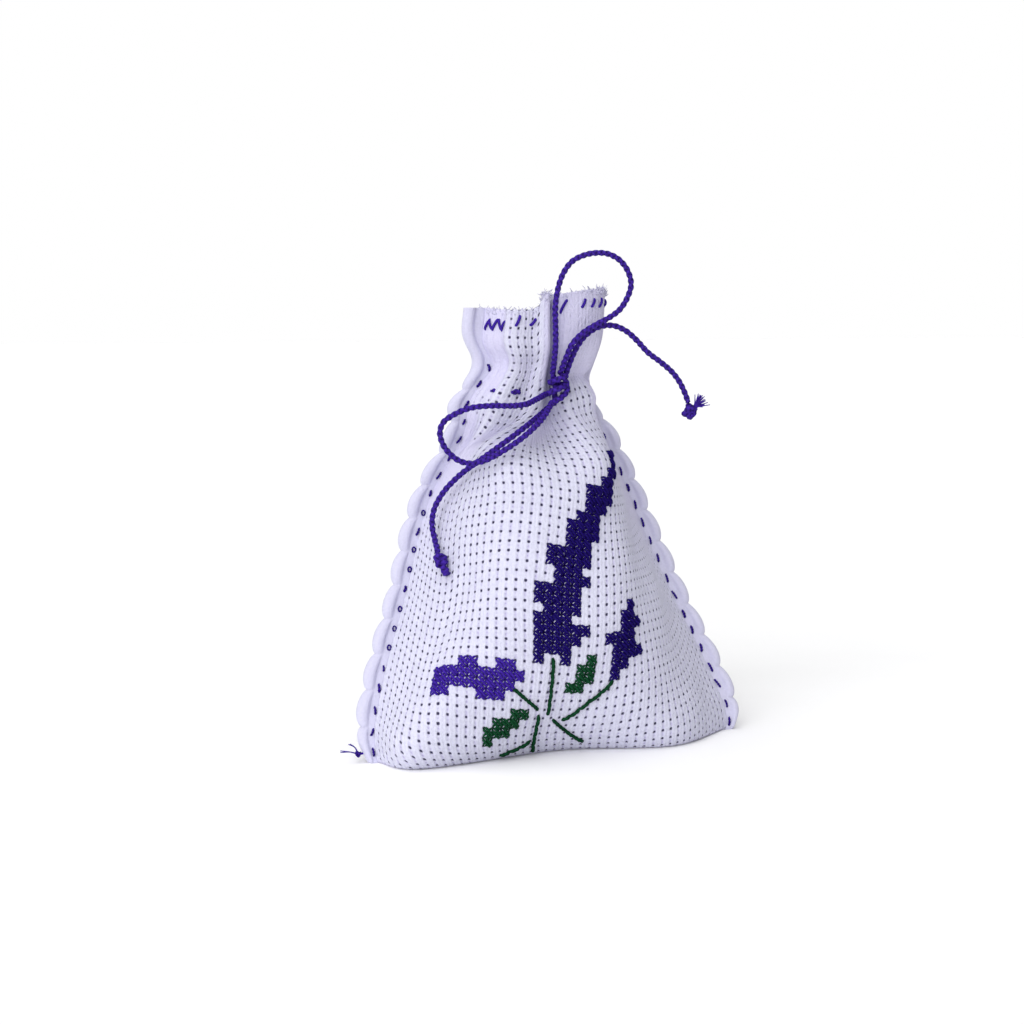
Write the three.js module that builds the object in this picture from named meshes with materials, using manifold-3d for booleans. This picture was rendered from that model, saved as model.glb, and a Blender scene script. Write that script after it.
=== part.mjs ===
// A small lavender sachet: a strip of counted-thread band folded at the bottom, sewn up both sides,
// filled with dried lavender and drawn shut at the neck by a cord that is tied in a bow.
// Millimetres; x across the sachet, y from its front (-) to its back (+), z up from where it rests.

import * as THREE from 'three';
import { mergeVertices } from 'three/addons/utils/BufferGeometryUtils.js';
import Module from 'manifold-3d';

const wasm = await Module();
wasm.setup();

// Cloth band
const THREADS_PER_INCH = 14;
const WEAVE_SQUARE = 25.4 / THREADS_PER_INCH;
const HALF_SQUARES = 25;
const CLOTH_THICKNESS = 0.5;
const LAYER_GAP = 0.3;
const PANEL_COLUMNS = 24;

// Scalloped edging of the band, and the slot beside it that the seam thread runs in
const EDGING_WIDTH = 2.9;
const SCALLOP_DEPTH = 0.9;
const SCALLOP_PITCH = 6.4;
const SCALLOP_STEPS = 3;
const SEAM_SLOT = 1.3;

// Threads and cord
const THREAD_RADIUS = 0.22;
const STITCH_PITCH = 3.63;
const THREAD_SIDES = 4;
const CORD_RADIUS = 0.55;
const CORD_SIDES = 8;
const CLEARANCE = 0.2;
const SEAT_GAP = 0.25;

// Heights of the sections
const HEEL_HEIGHT = 3;
const LOW_HEIGHT = 10;
const BELLY_HEIGHT = 28;
const CHEST_HEIGHT = 49;
const SHOULDER_HEIGHT = 62;
const NECK_HEIGHT = 72;
const FRILL_HEIGHT = 80;
const MOUTH_HEIGHT = 89;

// Half distances between the side seams
const BASE_HALF = 38;
const LOW_HALF = 36;
const BELLY_HALF = 28.4;
const CHEST_HALF = 20.7;
const SHOULDER_HALF = 13.5;
const NECK_HALF = 7.5;
const FRILL_HALF = 9.5;
const MOUTH_HALF = 11;

// Sections of the bag. seamY is where the side seams lie, and lean is how far the left one lies behind
// the right one. left, middle and right are the front panel's fullest points: x, and how far they stand
// out from the seams. The back panel is the mirror image, with its fullness times backFullness. At the
// neck, left and right are the ridges of the pleats.
const SECTIONS = [
  { z: 0, half: BASE_HALF, seamY: 2, lean: -7, backFullness: 1.9,
    left: [-34, 8.4], middle: [0, 4.4], right: [21, 10.4] },
  { z: HEEL_HEIGHT, half: BASE_HALF, seamY: 2.5, lean: -6, backFullness: 1.5,
    left: [-34.5, 11.5], middle: [-2, 8.8], right: [20.5, 12.6] },
  { z: LOW_HEIGHT, half: LOW_HALF, seamY: 4.5, lean: -3.5, backFullness: 1.1,
    left: [-30, 15.3], middle: [-2, 16.1], right: [17.5, 15.6] },
  { z: BELLY_HEIGHT, half: BELLY_HALF, seamY: 9.5, lean: 0, backFullness: 0.75,
    left: [-17, 21.5], middle: [-2, 25.5], right: [12, 21.5] },
  { z: CHEST_HEIGHT, half: CHEST_HALF, seamY: 15, lean: 0, backFullness: 0.65,
    left: [-13, 20], middle: [-1, 23], right: [9.5, 19.5] },
  { z: SHOULDER_HEIGHT, half: SHOULDER_HALF, seamY: 13.5, lean: 0, backFullness: 0.8,
    left: [-9, 14.5], middle: [0, 11.5], right: [8, 14.5] },
  { z: NECK_HEIGHT, half: NECK_HALF, seamY: 11, lean: 0, backFullness: 1,
    left: [-5.5, 7.5], middle: [0.5, 3], right: [6, 8] },
  { z: FRILL_HEIGHT, half: FRILL_HALF, seamY: 11, lean: 0, backFullness: 1,
    left: [-6.5, 9], middle: [0.5, 4], right: [7, 9] },
  { z: MOUTH_HEIGHT, half: MOUTH_HALF, seamY: 11.5, lean: 0, backFullness: 1,
    left: [-7, 9], middle: [0.5, 5], right: [7.5, 9.5] },
];
const BASE_ROWS = 2;
const ROWS_BETWEEN_SECTIONS = 3;

// How the weave lies on the bag: its columns are gathered towards the seams, the upper front is pulled to
// the right by a share of its half width, and some rows of the front lie under the base, more to the right
const GATHER_POWER = 2;
const GATHER_EASE = 0.8;
const PULL_RIGHT = 0.18;
const PULL_RISE = [26, 60];
const PULL_FALL = [57, 71];
const ROWS_UNDER = 4.5;
const ROWS_LEAN = 0.15;

// Lavender filling
const FILL_GAP = 1;
const FILL_TOP = 56;
const FILL_HALF_SQUARES = 23;

// Stitches below the raw edge of the mouth
const MOUTH_STITCH_DROP = 3;
const MOUTH_STITCH_SQUARES = 2;
const MOUTH_STITCH_HALF_SQUARES = 22;

// Bow: its knot, and the routes of its loops and tails
const KNOT_CENTRE = [1, 3.2, 70.6];
const KNOT_HALF = [2, 1.4, 2.8];
const KNOT_SIDES = 12;
const KNOT_RINGS = 8;
const END_KNOT_RADIUS = 1.4;
const UPPER_LOOP_ROUTE = [
  [0.3, 2.5, 73.2], [-0.1, 0.5, 76], [-0.4, -1, 79.5], [-0.6, -1.4, 83], [-0.6, -1.4, 86.5], [0, -1.4, 90],
  [1.1, -1.4, 92.8], [2.8, -1.4, 94.9], [5.2, -1.4, 96.1], [7.8, -1.4, 96.6], [10.4, -1.4, 96.4],
  [12.8, -1.4, 95.2], [14.5, -1.4, 93.1], [15.2, -1.4, 90.5], [14.4, -1.4, 87.9], [12.8, -1.4, 85.6],
  [10.5, -1.4, 84], [8, -1.4, 82.8], [5.1, -1.4, 81.1], [3, -1.2, 79], [2.1, 0, 76.2], [1.7, 2.2, 73.1]];
const RIGHT_TAIL_ROUTE = [
  [3, 2.8, 72.5], [3.6, 1.4, 75.6], [4.6, 0.4, 78.4], [6.3, 0.2, 80.6], [9, 0.2, 82.2], [12, 0.2, 82.5],
  [14.7, 0.2, 81.5], [17, 0.2, 79.7], [19.5, 0.2, 77.2], [22.2, 0.2, 75.3], [24.6, 0.2, 73.4],
  [26.3, 0.2, 71.4], [27.6, 0.2, 69], [28.3, 0.2, 67.2]];
const LEFT_LOOP_ROUTE = [
  [-1.1, 2.7, 69.1], [-4.3, -0.8, 68.3], [-7.5, -3.4, 67.5], [-11, -4.4, 67.3], [-15, -4.6, 67.4],
  [-19, -4.2, 67], [-22, -3.6, 65.8], [-24, -3.1, 64.3], [-24.6, -2.9, 62.4], [-24.1, -2.9, 60.3],
  [-22.8, -3.1, 58.4], [-20.8, -3.4, 56.9], [-18.6, -3.8, 56.4], [-16.2, -4.3, 56.9], [-13.6, -4.9, 58.2],
  [-10.2, -5.2, 60.2], [-6.7, -4.7, 62.6], [-3.4, -2.6, 65], [-0.5, 0.9, 67.5]];
const LEFT_TAIL_ROUTE = [
  [0.7, 2.9, 67.4], [-3.4, 0, 65.1], [-7.6, -2.8, 62.9], [-11.6, -2.2, 60], [-14.9, 0.6, 57],
  [-18.3, 4.2, 53.6], [-21, 6.2, 50.2], [-22.7, 6.9, 46.9], [-23.3, 6.5, 43.8], [-23.2, 5, 41],
  [-23.3, 2.8, 38.8]];
const RIGHT_END_KNOT = [28.6, 0.2, 65.4];
const RIGHT_TASSEL_END = [31.2, -0.4, 67.4];
const LEFT_END_KNOT = [-23.2, 1.6, 37.3];
const LEFT_STUB_END = [-22.6, -0.6, 34.9];
const TASSEL_RADIUS = 0.9;

// Knotted end of the seam thread at the lower left corner
const THREAD_KNOT_RADIUS = 0.6;
const THREAD_KNOT_HEIGHT = 1.7;
const THREAD_TAILS = [[-1.6, -1.2, 2.4], [-3, 0.2, 0.4]];

// Drawstring through the neck: columns counted in squares from the middle, and the side of the cloth
// that the cord lies on there, from the knot round the right side, the back and the left side
const DRAWSTRING = [
  ['front', 1.6, 'out'], ['front', 7, 'in'], ['front', 13, 'in'], ['front', 20, 'in'],
  ['back', 20, 'in'], ['back', 13, 'in'], ['back', 7, 'in'], ['back', 0, 'out'],
  ['back', -7, 'in'], ['back', -13, 'in'], ['back', -20, 'in'],
  ['front', -20, 'in'], ['front', -13, 'in'], ['front', -7, 'in'], ['front', -1.6, 'out']];
const DRAWSTRING_STEPS = 44;
const DRAWSTRING_SIDES = 6;

// Embroidery: charts in squares, the last line lowest; column and row of each chart's lower left corner
// are counted from the middle of the front and up from the fold
const ROWS_TO_MOUTH = 58;
const STITCH_HEIGHT = 0.5;
const TALL_SPIKE = { column: -5, row: 16, chart: [
  '.........X',
  '.........X',
  '........XX',
  '.......XX.',
  '.....XXXX.',
  '.....XXXX.',
  '.....XXX..',
  '....XXX...',
  '...XXXX...',
  '...XXXX...',
  '...XXX....',
  '.XXXXX....',
  '.XXXXX....',
  '..XXX.....',
  '..XXXX....',
  'XXXXX.....',
  'XXXXX.....',
  '.XXXX.....',
  'XXXX......',
  'XXXXXX....',
  'XXXXX.....',
  'XXXX......',
  'X..X......'] };
const LEFT_SPIKE = { column: -16, row: 12, chart: [
  '...XX..XX.',
  'XXXXXXXXXX',
  'XXXXXXXXX.',
  'XX...XXX..'] };
const RIGHT_SPIKE = { column: 3, row: 14, chart: [
  '...X.',
  '..XX.',
  '..XXX',
  'XXXX.',
  '.XXX.',
  '.XXXX',
  '.XX..',
  '.X...'] };
const LEFT_LEAF = { column: -10, row: 7, chart: [
  '...XX',
  '.XXX.',
  'XXX..',
  'X....'] };
const RIGHT_LEAF = { column: -1, row: 13, chart: [
  '..X',
  '.XX',
  '.XX',
  'XX.'] };
// Backstitched stems: column and row of each needle hole
const STEMS = [
  [[-2.9, 16.5], [-2.75, 13.6], [-2.8, 11], [-3.5, 8.6], [-3.8, 5.5]],
  [[-6.6, 12.9], [-5.3, 12], [-3.9, 11.1], [-1.8, 9.8], [0.2, 8.3], [2.2, 6.7]],
  [[4.2, 13.7], [2.9, 12.6], [1.2, 11.3], [0.1, 10.2], [-1.6, 9.1], [-4.3, 7.1], [-5.8, 6.2], [-8, 5.4]]];
const STEM_RADIUS = 0.35;
const STEM_STEPS = 8;
const STEM_SIDES = 6;

// Materials
const cloth = new THREE.MeshStandardMaterial({ color: 0xe4def2, roughness: 0.95, metalness: 0 });
const edging = new THREE.MeshStandardMaterial({ color: 0xf5f2fb, roughness: 0.9, metalness: 0 });
const violetThread = new THREE.MeshStandardMaterial({ color: 0x37207f, roughness: 0.6, metalness: 0 });
const violetCord = new THREE.MeshStandardMaterial({ color: 0x3f2690, roughness: 0.55, metalness: 0 });
const greenThread = new THREE.MeshStandardMaterial({ color: 0x1c5730, roughness: 0.6, metalness: 0 });
const driedBuds = new THREE.MeshStandardMaterial({ color: 0x6c6088, roughness: 1, metalness: 0 });

const FRONT = -1;
const BACK = 1;

// Value of a section's size at height z, on a smooth curve that never overshoots its neighbours
function atHeight(pick, z) {
  const last = SECTIONS.length - 1;
  let i = 0;
  while (i < last - 1 && z > SECTIONS[i + 1].z) i += 1;
  const rise = (k) => SECTIONS[k + 1].z - SECTIONS[k].z;
  const steepness = (k) => (pick(SECTIONS[k + 1]) - pick(SECTIONS[k])) / rise(k);
  const slope = (k) => {
    if (k === 0) return steepness(0);
    if (k === last) return steepness(last - 1);
    const below = steepness(k - 1);
    const above = steepness(k);
    return below * above <= 0 ? 0 : 2 * below * above / (below + above);
  };
  const t = (z - SECTIONS[i].z) / rise(i);
  const start = pick(SECTIONS[i]);
  const end = pick(SECTIONS[i + 1]);
  return (2 * t ** 3 - 3 * t ** 2 + 1) * start + (t ** 3 - 2 * t ** 2 + t) * slope(i) * rise(i)
    + (3 * t ** 2 - 2 * t ** 3) * end + (t ** 3 - t ** 2) * slope(i + 1) * rise(i);
}

const seamHalf = (z) => atHeight((s) => s.half, z);
// Depth between the two layers at height z, for a share of the way from the middle to a seam
const seamDepth = (z, share) => atHeight((s) => s.seamY, z) + atHeight((s) => s.lean, z) * (1 - share) / 2;
const layerOffset = (LAYER_GAP + CLOTH_THICKNESS) / 2;

// Middle surface of one panel at height z, from the left seam to the right one
const sectionCurves = new Map();
function sectionCurve(side, z) {
  const key = `${side} ${z}`;
  if (!sectionCurves.has(key)) {
    const half = seamHalf(z);
    const fullness = side === FRONT ? 1 : atHeight((s) => s.backFullness, z);
    const point = (name) => [0, 1].map((axis) => atHeight((s) => s[name][axis], z));
    const fullest = [point('left'), point('middle'), point('right')];
    const bulges = fullest.map(([x, out]) => [-side * x, fullness * out]);
    if (side === BACK) bulges.reverse();
    const outline = [[-half, 0], ...bulges, [half, 0]];
    const depth = ([x, out]) => seamDepth(z, x / half) + side * (layerOffset + out);
    const place = (p) => new THREE.Vector3(p[0], depth(p), z);
    sectionCurves.set(key, new THREE.CatmullRomCurve3(outline.map(place), false, 'centripetal'));
  }
  return sectionCurves.get(key);
}

// Point of a panel in a column of the weave, counted in squares from its middle. The weave keeps its
// true size in the middle and is gathered towards the seams where the bag is narrower than the band.
function panelPoint(side, column, z) {
  const curve = sectionCurve(side, z);
  const t = column / HALF_SQUARES;
  const gather = Math.max(1, 2 * HALF_SQUARES * WEAVE_SQUARE / curve.getLength());
  const power = Math.min(GATHER_POWER, 1 + GATHER_EASE / Math.max(gather - 1, 0.01));
  const share = t * gather / (1 + (gather - 1) * Math.abs(t) ** power);
  const { smoothstep } = THREE.MathUtils;
  const pull = PULL_RIGHT * smoothstep(z, ...PULL_RISE) * (1 - smoothstep(z, ...PULL_FALL));
  const pulled = side === FRONT ? share + pull * (1 - share ** 2) : share;
  return curve.getPointAt(THREE.MathUtils.clamp((1 + pulled) / 2, 0, 1));
}

// Outward direction of a panel at that point
function panelNormal(side, column, z) {
  const across = panelPoint(side, Math.min(column + 0.5, HALF_SQUARES), z)
    .sub(panelPoint(side, Math.max(column - 0.5, -HALF_SQUARES), z));
  const up = panelPoint(side, column, Math.min(z + 0.5, MOUTH_HEIGHT))
    .sub(panelPoint(side, column, Math.max(z - 0.5, 0)));
  return across.cross(up).multiplyScalar(-side).normalize();
}

// Bottom of a panel between the fold and the front or back edge of the base
function basePoint(side, column, share) {
  const edge = panelPoint(side, column, 0);
  const across = column / HALF_SQUARES;
  const fold = new THREE.Vector3(BASE_HALF * across, seamDepth(0, across) + side * layerOffset, 0);
  return fold.lerp(edge, share).setZ(CLOTH_THICKNESS / 2);
}

// Height at which a column of the front panel has come a number of rows up from the fold
const COLUMN_SAMPLES = 60;
const columnLengths = new Map();
function rowHeight(column, row) {
  if (!columnLengths.has(column)) {
    let reached = basePoint(FRONT, column, 0).distanceTo(basePoint(FRONT, column, 1));
    let last = panelPoint(FRONT, column, 0);
    const lengths = [reached];
    for (let i = 1; i <= COLUMN_SAMPLES; i += 1) {
      const next = panelPoint(FRONT, column, MOUTH_HEIGHT * i / COLUMN_SAMPLES);
      reached += next.distanceTo(last);
      lengths.push(reached);
      last = next;
    }
    columnLengths.set(column, lengths);
  }
  const lengths = columnLengths.get(column);
  const t = column / HALF_SQUARES;
  const under = ROWS_UNDER * (1 - t ** 4) * (1 + ROWS_LEAN * t);
  const above = (lengths[COLUMN_SAMPLES] - lengths[0]) / (ROWS_TO_MOUTH - under);
  const wanted = lengths[0] + above * (row - under);
  let i = 0;
  while (i < COLUMN_SAMPLES - 1 && lengths[i + 1] < wanted) i += 1;
  const share = THREE.MathUtils.clamp((wanted - lengths[i]) / (lengths[i + 1] - lengths[i]), 0, 1);
  return MOUTH_HEIGHT * (i + share) / COLUMN_SAMPLES;
}

// Closed geometry from vertices and triangles, turned the right way out
function closedGeometry(points, triangles) {
  let volume = 0;
  for (const [a, b, c] of triangles) {
    volume += points[a].dot(new THREE.Vector3().crossVectors(points[b], points[c]));
  }
  const outward = volume > 0 ? triangles : triangles.map(([a, b, c]) => [a, c, b]);
  const geometry = new THREE.BufferGeometry();
  geometry.setAttribute('position', new THREE.Float32BufferAttribute(points.flatMap((p) => p.toArray()), 3));
  geometry.setIndex(outward.flat());
  return geometry;
}

// Sheet between two like grids of points, closed round its rim
function sheetGeometry(outer, inner) {
  const rows = outer.length;
  const columns = outer[0].length;
  const points = [...outer.flat(), ...inner.flat()];
  const at = (layer, i, j) => layer * rows * columns + i * columns + j;
  const triangles = [];
  const quad = (a, b, c, d) => triangles.push([a, b, c], [a, c, d]);
  for (let i = 0; i < rows - 1; i += 1) {
    for (let j = 0; j < columns - 1; j += 1) {
      quad(at(0, i, j), at(0, i, j + 1), at(0, i + 1, j + 1), at(0, i + 1, j));
      quad(at(1, i, j), at(1, i + 1, j), at(1, i + 1, j + 1), at(1, i, j + 1));
    }
    quad(at(0, i, 0), at(0, i + 1, 0), at(1, i + 1, 0), at(1, i, 0));
    quad(at(0, i, columns - 1), at(1, i, columns - 1), at(1, i + 1, columns - 1), at(0, i + 1, columns - 1));
  }
  for (let j = 0; j < columns - 1; j += 1) {
    quad(at(0, 0, j), at(1, 0, j), at(1, 0, j + 1), at(0, 0, j + 1));
    quad(at(0, rows - 1, j), at(0, rows - 1, j + 1), at(1, rows - 1, j + 1), at(1, rows - 1, j));
  }
  return closedGeometry(points, triangles);
}

// Boolean work on closed geometries
function toSolid(geometry) {
  const bare = geometry.clone();
  bare.deleteAttribute('normal');
  bare.deleteAttribute('uv');
  const merged = mergeVertices(bare, 1e-4);
  return new wasm.Manifold(new wasm.Mesh({
    numProp: 3,
    vertProperties: new Float32Array(merged.attributes.position.array),
    triVerts: new Uint32Array(merged.index.array),
  }));
}

function fromSolid(solid) {
  const { vertProperties, triVerts } = solid.getMesh();
  const geometry = new THREE.BufferGeometry();
  geometry.setAttribute('position', new THREE.Float32BufferAttribute(vertProperties, 3));
  geometry.setIndex(Array.from(triVerts));
  return geometry;
}

const cutAway = (body, tools) => {
  const cut = (solid, tool) => solid.subtract(toSolid(tool));
  return fromSolid(tools.reduce(cut, toSolid(body)));
};
const joinAll = (bodies) => fromSolid(bodies.map(toSolid).reduce((whole, body) => whole.add(body)));

// Round tube along a curve
function tubeGeometry(curve, radius, sides, steps) {
  const ring = Array.from({ length: sides }, (_, k) => {
    const angle = 2 * Math.PI * k / sides;
    return new THREE.Vector2(radius * Math.cos(angle), radius * Math.sin(angle));
  });
  return new THREE.ExtrudeGeometry(new THREE.Shape(ring), { steps, extrudePath: curve, bevelEnabled: false });
}

const vector = (coordinates) => new THREE.Vector3(...coordinates);
const smoothCurve = (points) => new THREE.CatmullRomCurve3(points, false, 'centripetal');

function mesh(name, geometry, material) {
  const piece = new THREE.Mesh(geometry, material);
  piece.name = name;
  return piece;
}

// Heights of the rows of a panel's facets
const panelRows = SECTIONS.slice(1).flatMap((section, i) => (
  Array.from({ length: ROWS_BETWEEN_SECTIONS }, (_, k) => (
    SECTIONS[i].z + (section.z - SECTIONS[i].z) * (k + 1) / ROWS_BETWEEN_SECTIONS))));
const panelColumns = Array.from({ length: PANEL_COLUMNS + 1 }, (_, j) => (
  HALF_SQUARES * (2 * j / PANEL_COLUMNS - 1)));

function panelGeometry(side) {
  const outer = [];
  const inner = [];
  for (let i = 0; i <= BASE_ROWS; i += 1) {
    const row = panelColumns.map((column) => basePoint(side, column, i / BASE_ROWS));
    outer.push(row.map((p) => p.clone().setZ(0)));
    inner.push(row.map((p) => p.clone().setZ(CLOTH_THICKNESS)));
  }
  inner[BASE_ROWS].forEach((p) => p.setY(p.y - side * CLOTH_THICKNESS));
  for (const z of panelRows) {
    const offset = (column, share) => panelPoint(side, column, z)
      .addScaledVector(panelNormal(side, column, z), share * CLOTH_THICKNESS);
    outer.push(panelColumns.map((column) => offset(column, 0.5)));
    inner.push(panelColumns.map((column) => offset(column, -0.5)));
  }
  return sheetGeometry(outer, inner);
}

// One scalloped edge of a panel, hand -1 at the left and 1 at the right
function edgingGeometry(side, hand) {
  const scallops = Math.round(MOUTH_HEIGHT / SCALLOP_PITCH);
  const count = scallops * SCALLOP_STEPS;
  const layers = [LAYER_GAP / 2, LAYER_GAP / 2 + CLOTH_THICKNESS];
  const grids = layers.map((depth) => Array.from({ length: count + 1 }, (_, i) => {
    const z = MOUTH_HEIGHT * i / count;
    const inside = seamHalf(z) + SEAM_SLOT;
    const notch = SCALLOP_DEPTH * (1 - Math.abs(Math.sin(Math.PI * i / SCALLOP_STEPS)));
    const y = seamDepth(z, hand) + side * depth;
    return [inside, inside + EDGING_WIDTH - notch].map((x) => new THREE.Vector3(hand * x, y, z));
  }));
  return sheetGeometry(grids[1], grids[0]);
}

// Running stitch through both layers, in the slot between panel and edging
function seamThreadGeometry(hand) {
  const swing = LAYER_GAP / 2 + CLOTH_THICKNESS + CLEARANCE + THREAD_RADIUS;
  const stitches = Math.floor((MOUTH_HEIGHT - STITCH_PITCH) / STITCH_PITCH);
  const points = [];
  for (let k = 0; k <= 2 * stitches; k += 1) {
    const z = STITCH_PITCH * (k + 1) / 2;
    const side = k % 2 === 0 ? FRONT : BACK;
    const across = hand * (seamHalf(z) + SEAM_SLOT / 2);
    points.push(new THREE.Vector3(across, seamDepth(z, hand) + side * swing, z));
  }
  return tubeGeometry(smoothCurve(points), THREAD_RADIUS, THREAD_SIDES, 2 * stitches);
}

// Curve of the stitches that hold the raw edge of a panel's mouth, in and out of the cloth
function mouthStitchCurve(side) {
  const z = MOUTH_HEIGHT - MOUTH_STITCH_DROP;
  const swing = CLOTH_THICKNESS / 2 + CLEARANCE + THREAD_RADIUS;
  const points = [];
  for (let k = 0; k <= 2 * MOUTH_STITCH_HALF_SQUARES / MOUTH_STITCH_SQUARES; k += 1) {
    const column = k * MOUTH_STITCH_SQUARES - MOUTH_STITCH_HALF_SQUARES;
    const sign = k % 2 === 0 ? 1 : -1;
    points.push(panelPoint(side, column, z).addScaledVector(panelNormal(side, column, z), sign * swing));
  }
  return smoothCurve(points);
}

// Route of the drawstring round the neck, from one side of the bow's knot to the other
function drawstringCurve() {
  const off = CLOTH_THICKNESS / 2 + CLEARANCE + CORD_RADIUS;
  const points = DRAWSTRING.map(([panel, column, place]) => {
    const side = panel === 'front' ? FRONT : BACK;
    const sign = place === 'out' ? 1 : -1;
    return panelPoint(side, column, NECK_HEIGHT)
      .addScaledVector(panelNormal(side, column, NECK_HEIGHT), sign * off).setZ(NECK_HEIGHT);
  });
  return smoothCurve(points);
}

// Filling that stops short of the cloth all round, with every second column of the panels
function fillingGeometry() {
  const points = [];
  const columns = panelColumns.filter((column, j) => j % 2 === 1 && Math.abs(column) <= FILL_HALF_SQUARES);
  const bottom = CLOTH_THICKNESS + FILL_GAP;
  const heights = [bottom, ...panelRows.filter((z) => z > 2 * bottom && z <= FILL_TOP)];
  const around = 2 * columns.length;
  for (const z of heights) {
    const inset = (side) => (column) => {
      const normal = panelNormal(side, column, z).setZ(0).normalize();
      return panelPoint(side, column, z).addScaledVector(normal, -FILL_GAP - CLOTH_THICKNESS / 2);
    };
    points.push(...columns.map(inset(FRONT)), ...columns.slice().reverse().map(inset(BACK)));
  }
  const triangles = [];
  const at = (i, j) => i * around + (j % around);
  for (let i = 0; i < heights.length - 1; i += 1) {
    for (let j = 0; j < around; j += 1) {
      triangles.push([at(i, j), at(i, j + 1), at(i + 1, j + 1)], [at(i, j), at(i + 1, j + 1), at(i + 1, j)]);
    }
  }
  for (const [ring, flip] of [[0, true], [heights.length - 1, false]]) {
    const rim = points.slice(ring * around, (ring + 1) * around);
    const hub = points.push(rim.reduce((sum, p) => sum.add(p), new THREE.Vector3()).divideScalar(around)) - 1;
    for (let j = 0; j < around; j += 1) {
      triangles.push(flip ? [hub, at(ring, j + 1), at(ring, j)] : [hub, at(ring, j), at(ring, j + 1)]);
    }
  }
  return closedGeometry(points, triangles);
}

// Point over the front of the cloth at a column and row of the weave
function overFront(column, row, height) {
  const z = rowHeight(column, row);
  return panelPoint(FRONT, column, z)
    .addScaledVector(panelNormal(FRONT, column, z), CLOTH_THICKNESS / 2 + SEAT_GAP + height);
}

// Worked area of a stitch chart: one raised plate with the chart's stepped outline
function chartGeometry({ column, row, chart }) {
  const points = [];
  const indexOf = new Map();
  const corner = (c, r, top) => {
    const key = `${c} ${r} ${top}`;
    if (!indexOf.has(key)) indexOf.set(key, points.push(overFront(c, r, top ? STITCH_HEIGHT : 0)) - 1);
    return indexOf.get(key);
  };
  const filled = (line, k) => chart[line] !== undefined && chart[line][k] === 'X';
  const triangles = [];
  const quad = (a, b, c, d) => triangles.push([a, b, c], [a, c, d]);
  chart.forEach((text, line) => [...text].forEach((mark, k) => {
    if (mark !== 'X') return;
    const left = column + k;
    const low = row + chart.length - 1 - line;
    const ring = [[left, low], [left + 1, low], [left + 1, low + 1], [left, low + 1]];
    quad(...ring.map(([c, r]) => corner(c, r, true)));
    quad(...ring.map(([c, r]) => corner(c, r, false)).reverse());
    const neighbours = [filled(line + 1, k), filled(line, k + 1), filled(line - 1, k), filled(line, k - 1)];
    neighbours.forEach((inside, edge) => {
      if (inside) return;
      const [a, b] = [ring[edge], ring[(edge + 1) % 4]];
      quad(corner(...a, false), corner(...b, false), corner(...b, true), corner(...a, true));
    });
  }));
  return closedGeometry(points, triangles);
}

function stemsGeometry() {
  const curves = STEMS.map((holes) => smoothCurve(holes.map(([c, r]) => overFront(c, r, STEM_RADIUS))));
  return joinAll(curves.map((curve) => tubeGeometry(curve, STEM_RADIUS, STEM_SIDES, STEM_STEPS)));
}

// Knots and cord ends
function bowKnotGeometry() {
  const geometry = new THREE.SphereGeometry(1, KNOT_SIDES, KNOT_RINGS);
  geometry.rotateX(Math.PI / 2);
  geometry.scale(...KNOT_HALF);
  geometry.translate(...KNOT_CENTRE);
  return geometry;
}

function endKnotGeometry(centre) {
  const geometry = new THREE.IcosahedronGeometry(END_KNOT_RADIUS, 1);
  geometry.translate(...centre);
  return geometry;
}

// Tapered end of a cord or thread beyond its knot
function cordEndGeometry(knot, tip, knotRadius, startRadius, endRadius) {
  const start = vector(knot);
  const direction = vector(tip).sub(start);
  const length = direction.length() - knotRadius;
  direction.normalize();
  const geometry = new THREE.CylinderGeometry(endRadius, startRadius, length, CORD_SIDES);
  geometry.applyQuaternion(new THREE.Quaternion().setFromUnitVectors(new THREE.Vector3(0, 1, 0), direction));
  const middle = start.addScaledVector(direction, knotRadius + length / 2);
  geometry.translate(middle.x, middle.y, middle.z);
  return geometry;
}

function seamThreadEndGeometry() {
  const outside = seamHalf(THREAD_KNOT_HEIGHT) + SEAM_SLOT + EDGING_WIDTH;
  const x = -(outside + CLEARANCE + THREAD_KNOT_RADIUS);
  const knot = [x, seamDepth(THREAD_KNOT_HEIGHT, -1), THREAD_KNOT_HEIGHT];
  const ball = new THREE.IcosahedronGeometry(THREAD_KNOT_RADIUS, 1);
  ball.translate(...knot);
  const tails = THREAD_TAILS.map((reach) => {
    const tip = knot.map((value, axis) => value + reach[axis]);
    return cordEndGeometry(knot, tip, 0, THREAD_RADIUS, THREAD_RADIUS / 2);
  });
  return joinAll([ball, ...tails]);
}

const cordGeometry = (route) => {
  const curve = smoothCurve(route.map(vector));
  return tubeGeometry(curve, CORD_RADIUS, CORD_SIDES, route.length);
};

// Assembly
const sachet = new THREE.Group();

const drawstring = drawstringCurve();
const cordPassage = tubeGeometry(drawstring, CORD_RADIUS + CLEARANCE, DRAWSTRING_SIDES, DRAWSTRING_STEPS);
for (const [name, side] of [['front', FRONT], ['back', BACK]]) {
  const stitches = mouthStitchCurve(side);
  const steps = stitches.points.length - 1;
  const needleHoles = tubeGeometry(stitches, THREAD_RADIUS + CLEARANCE / 2, THREAD_SIDES, steps);
  sachet.add(
    mesh(`${name}_panel`, cutAway(panelGeometry(side), [cordPassage, needleHoles]), cloth),
    mesh(`${name}_left_edging`, edgingGeometry(side, -1), edging),
    mesh(`${name}_right_edging`, edgingGeometry(side, 1), edging),
    mesh(`${name}_mouth_stitches`, tubeGeometry(stitches, THREAD_RADIUS, THREAD_SIDES, steps), violetThread),
  );
}
const drawstringTube = tubeGeometry(drawstring, CORD_RADIUS, DRAWSTRING_SIDES, DRAWSTRING_STEPS);
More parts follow.
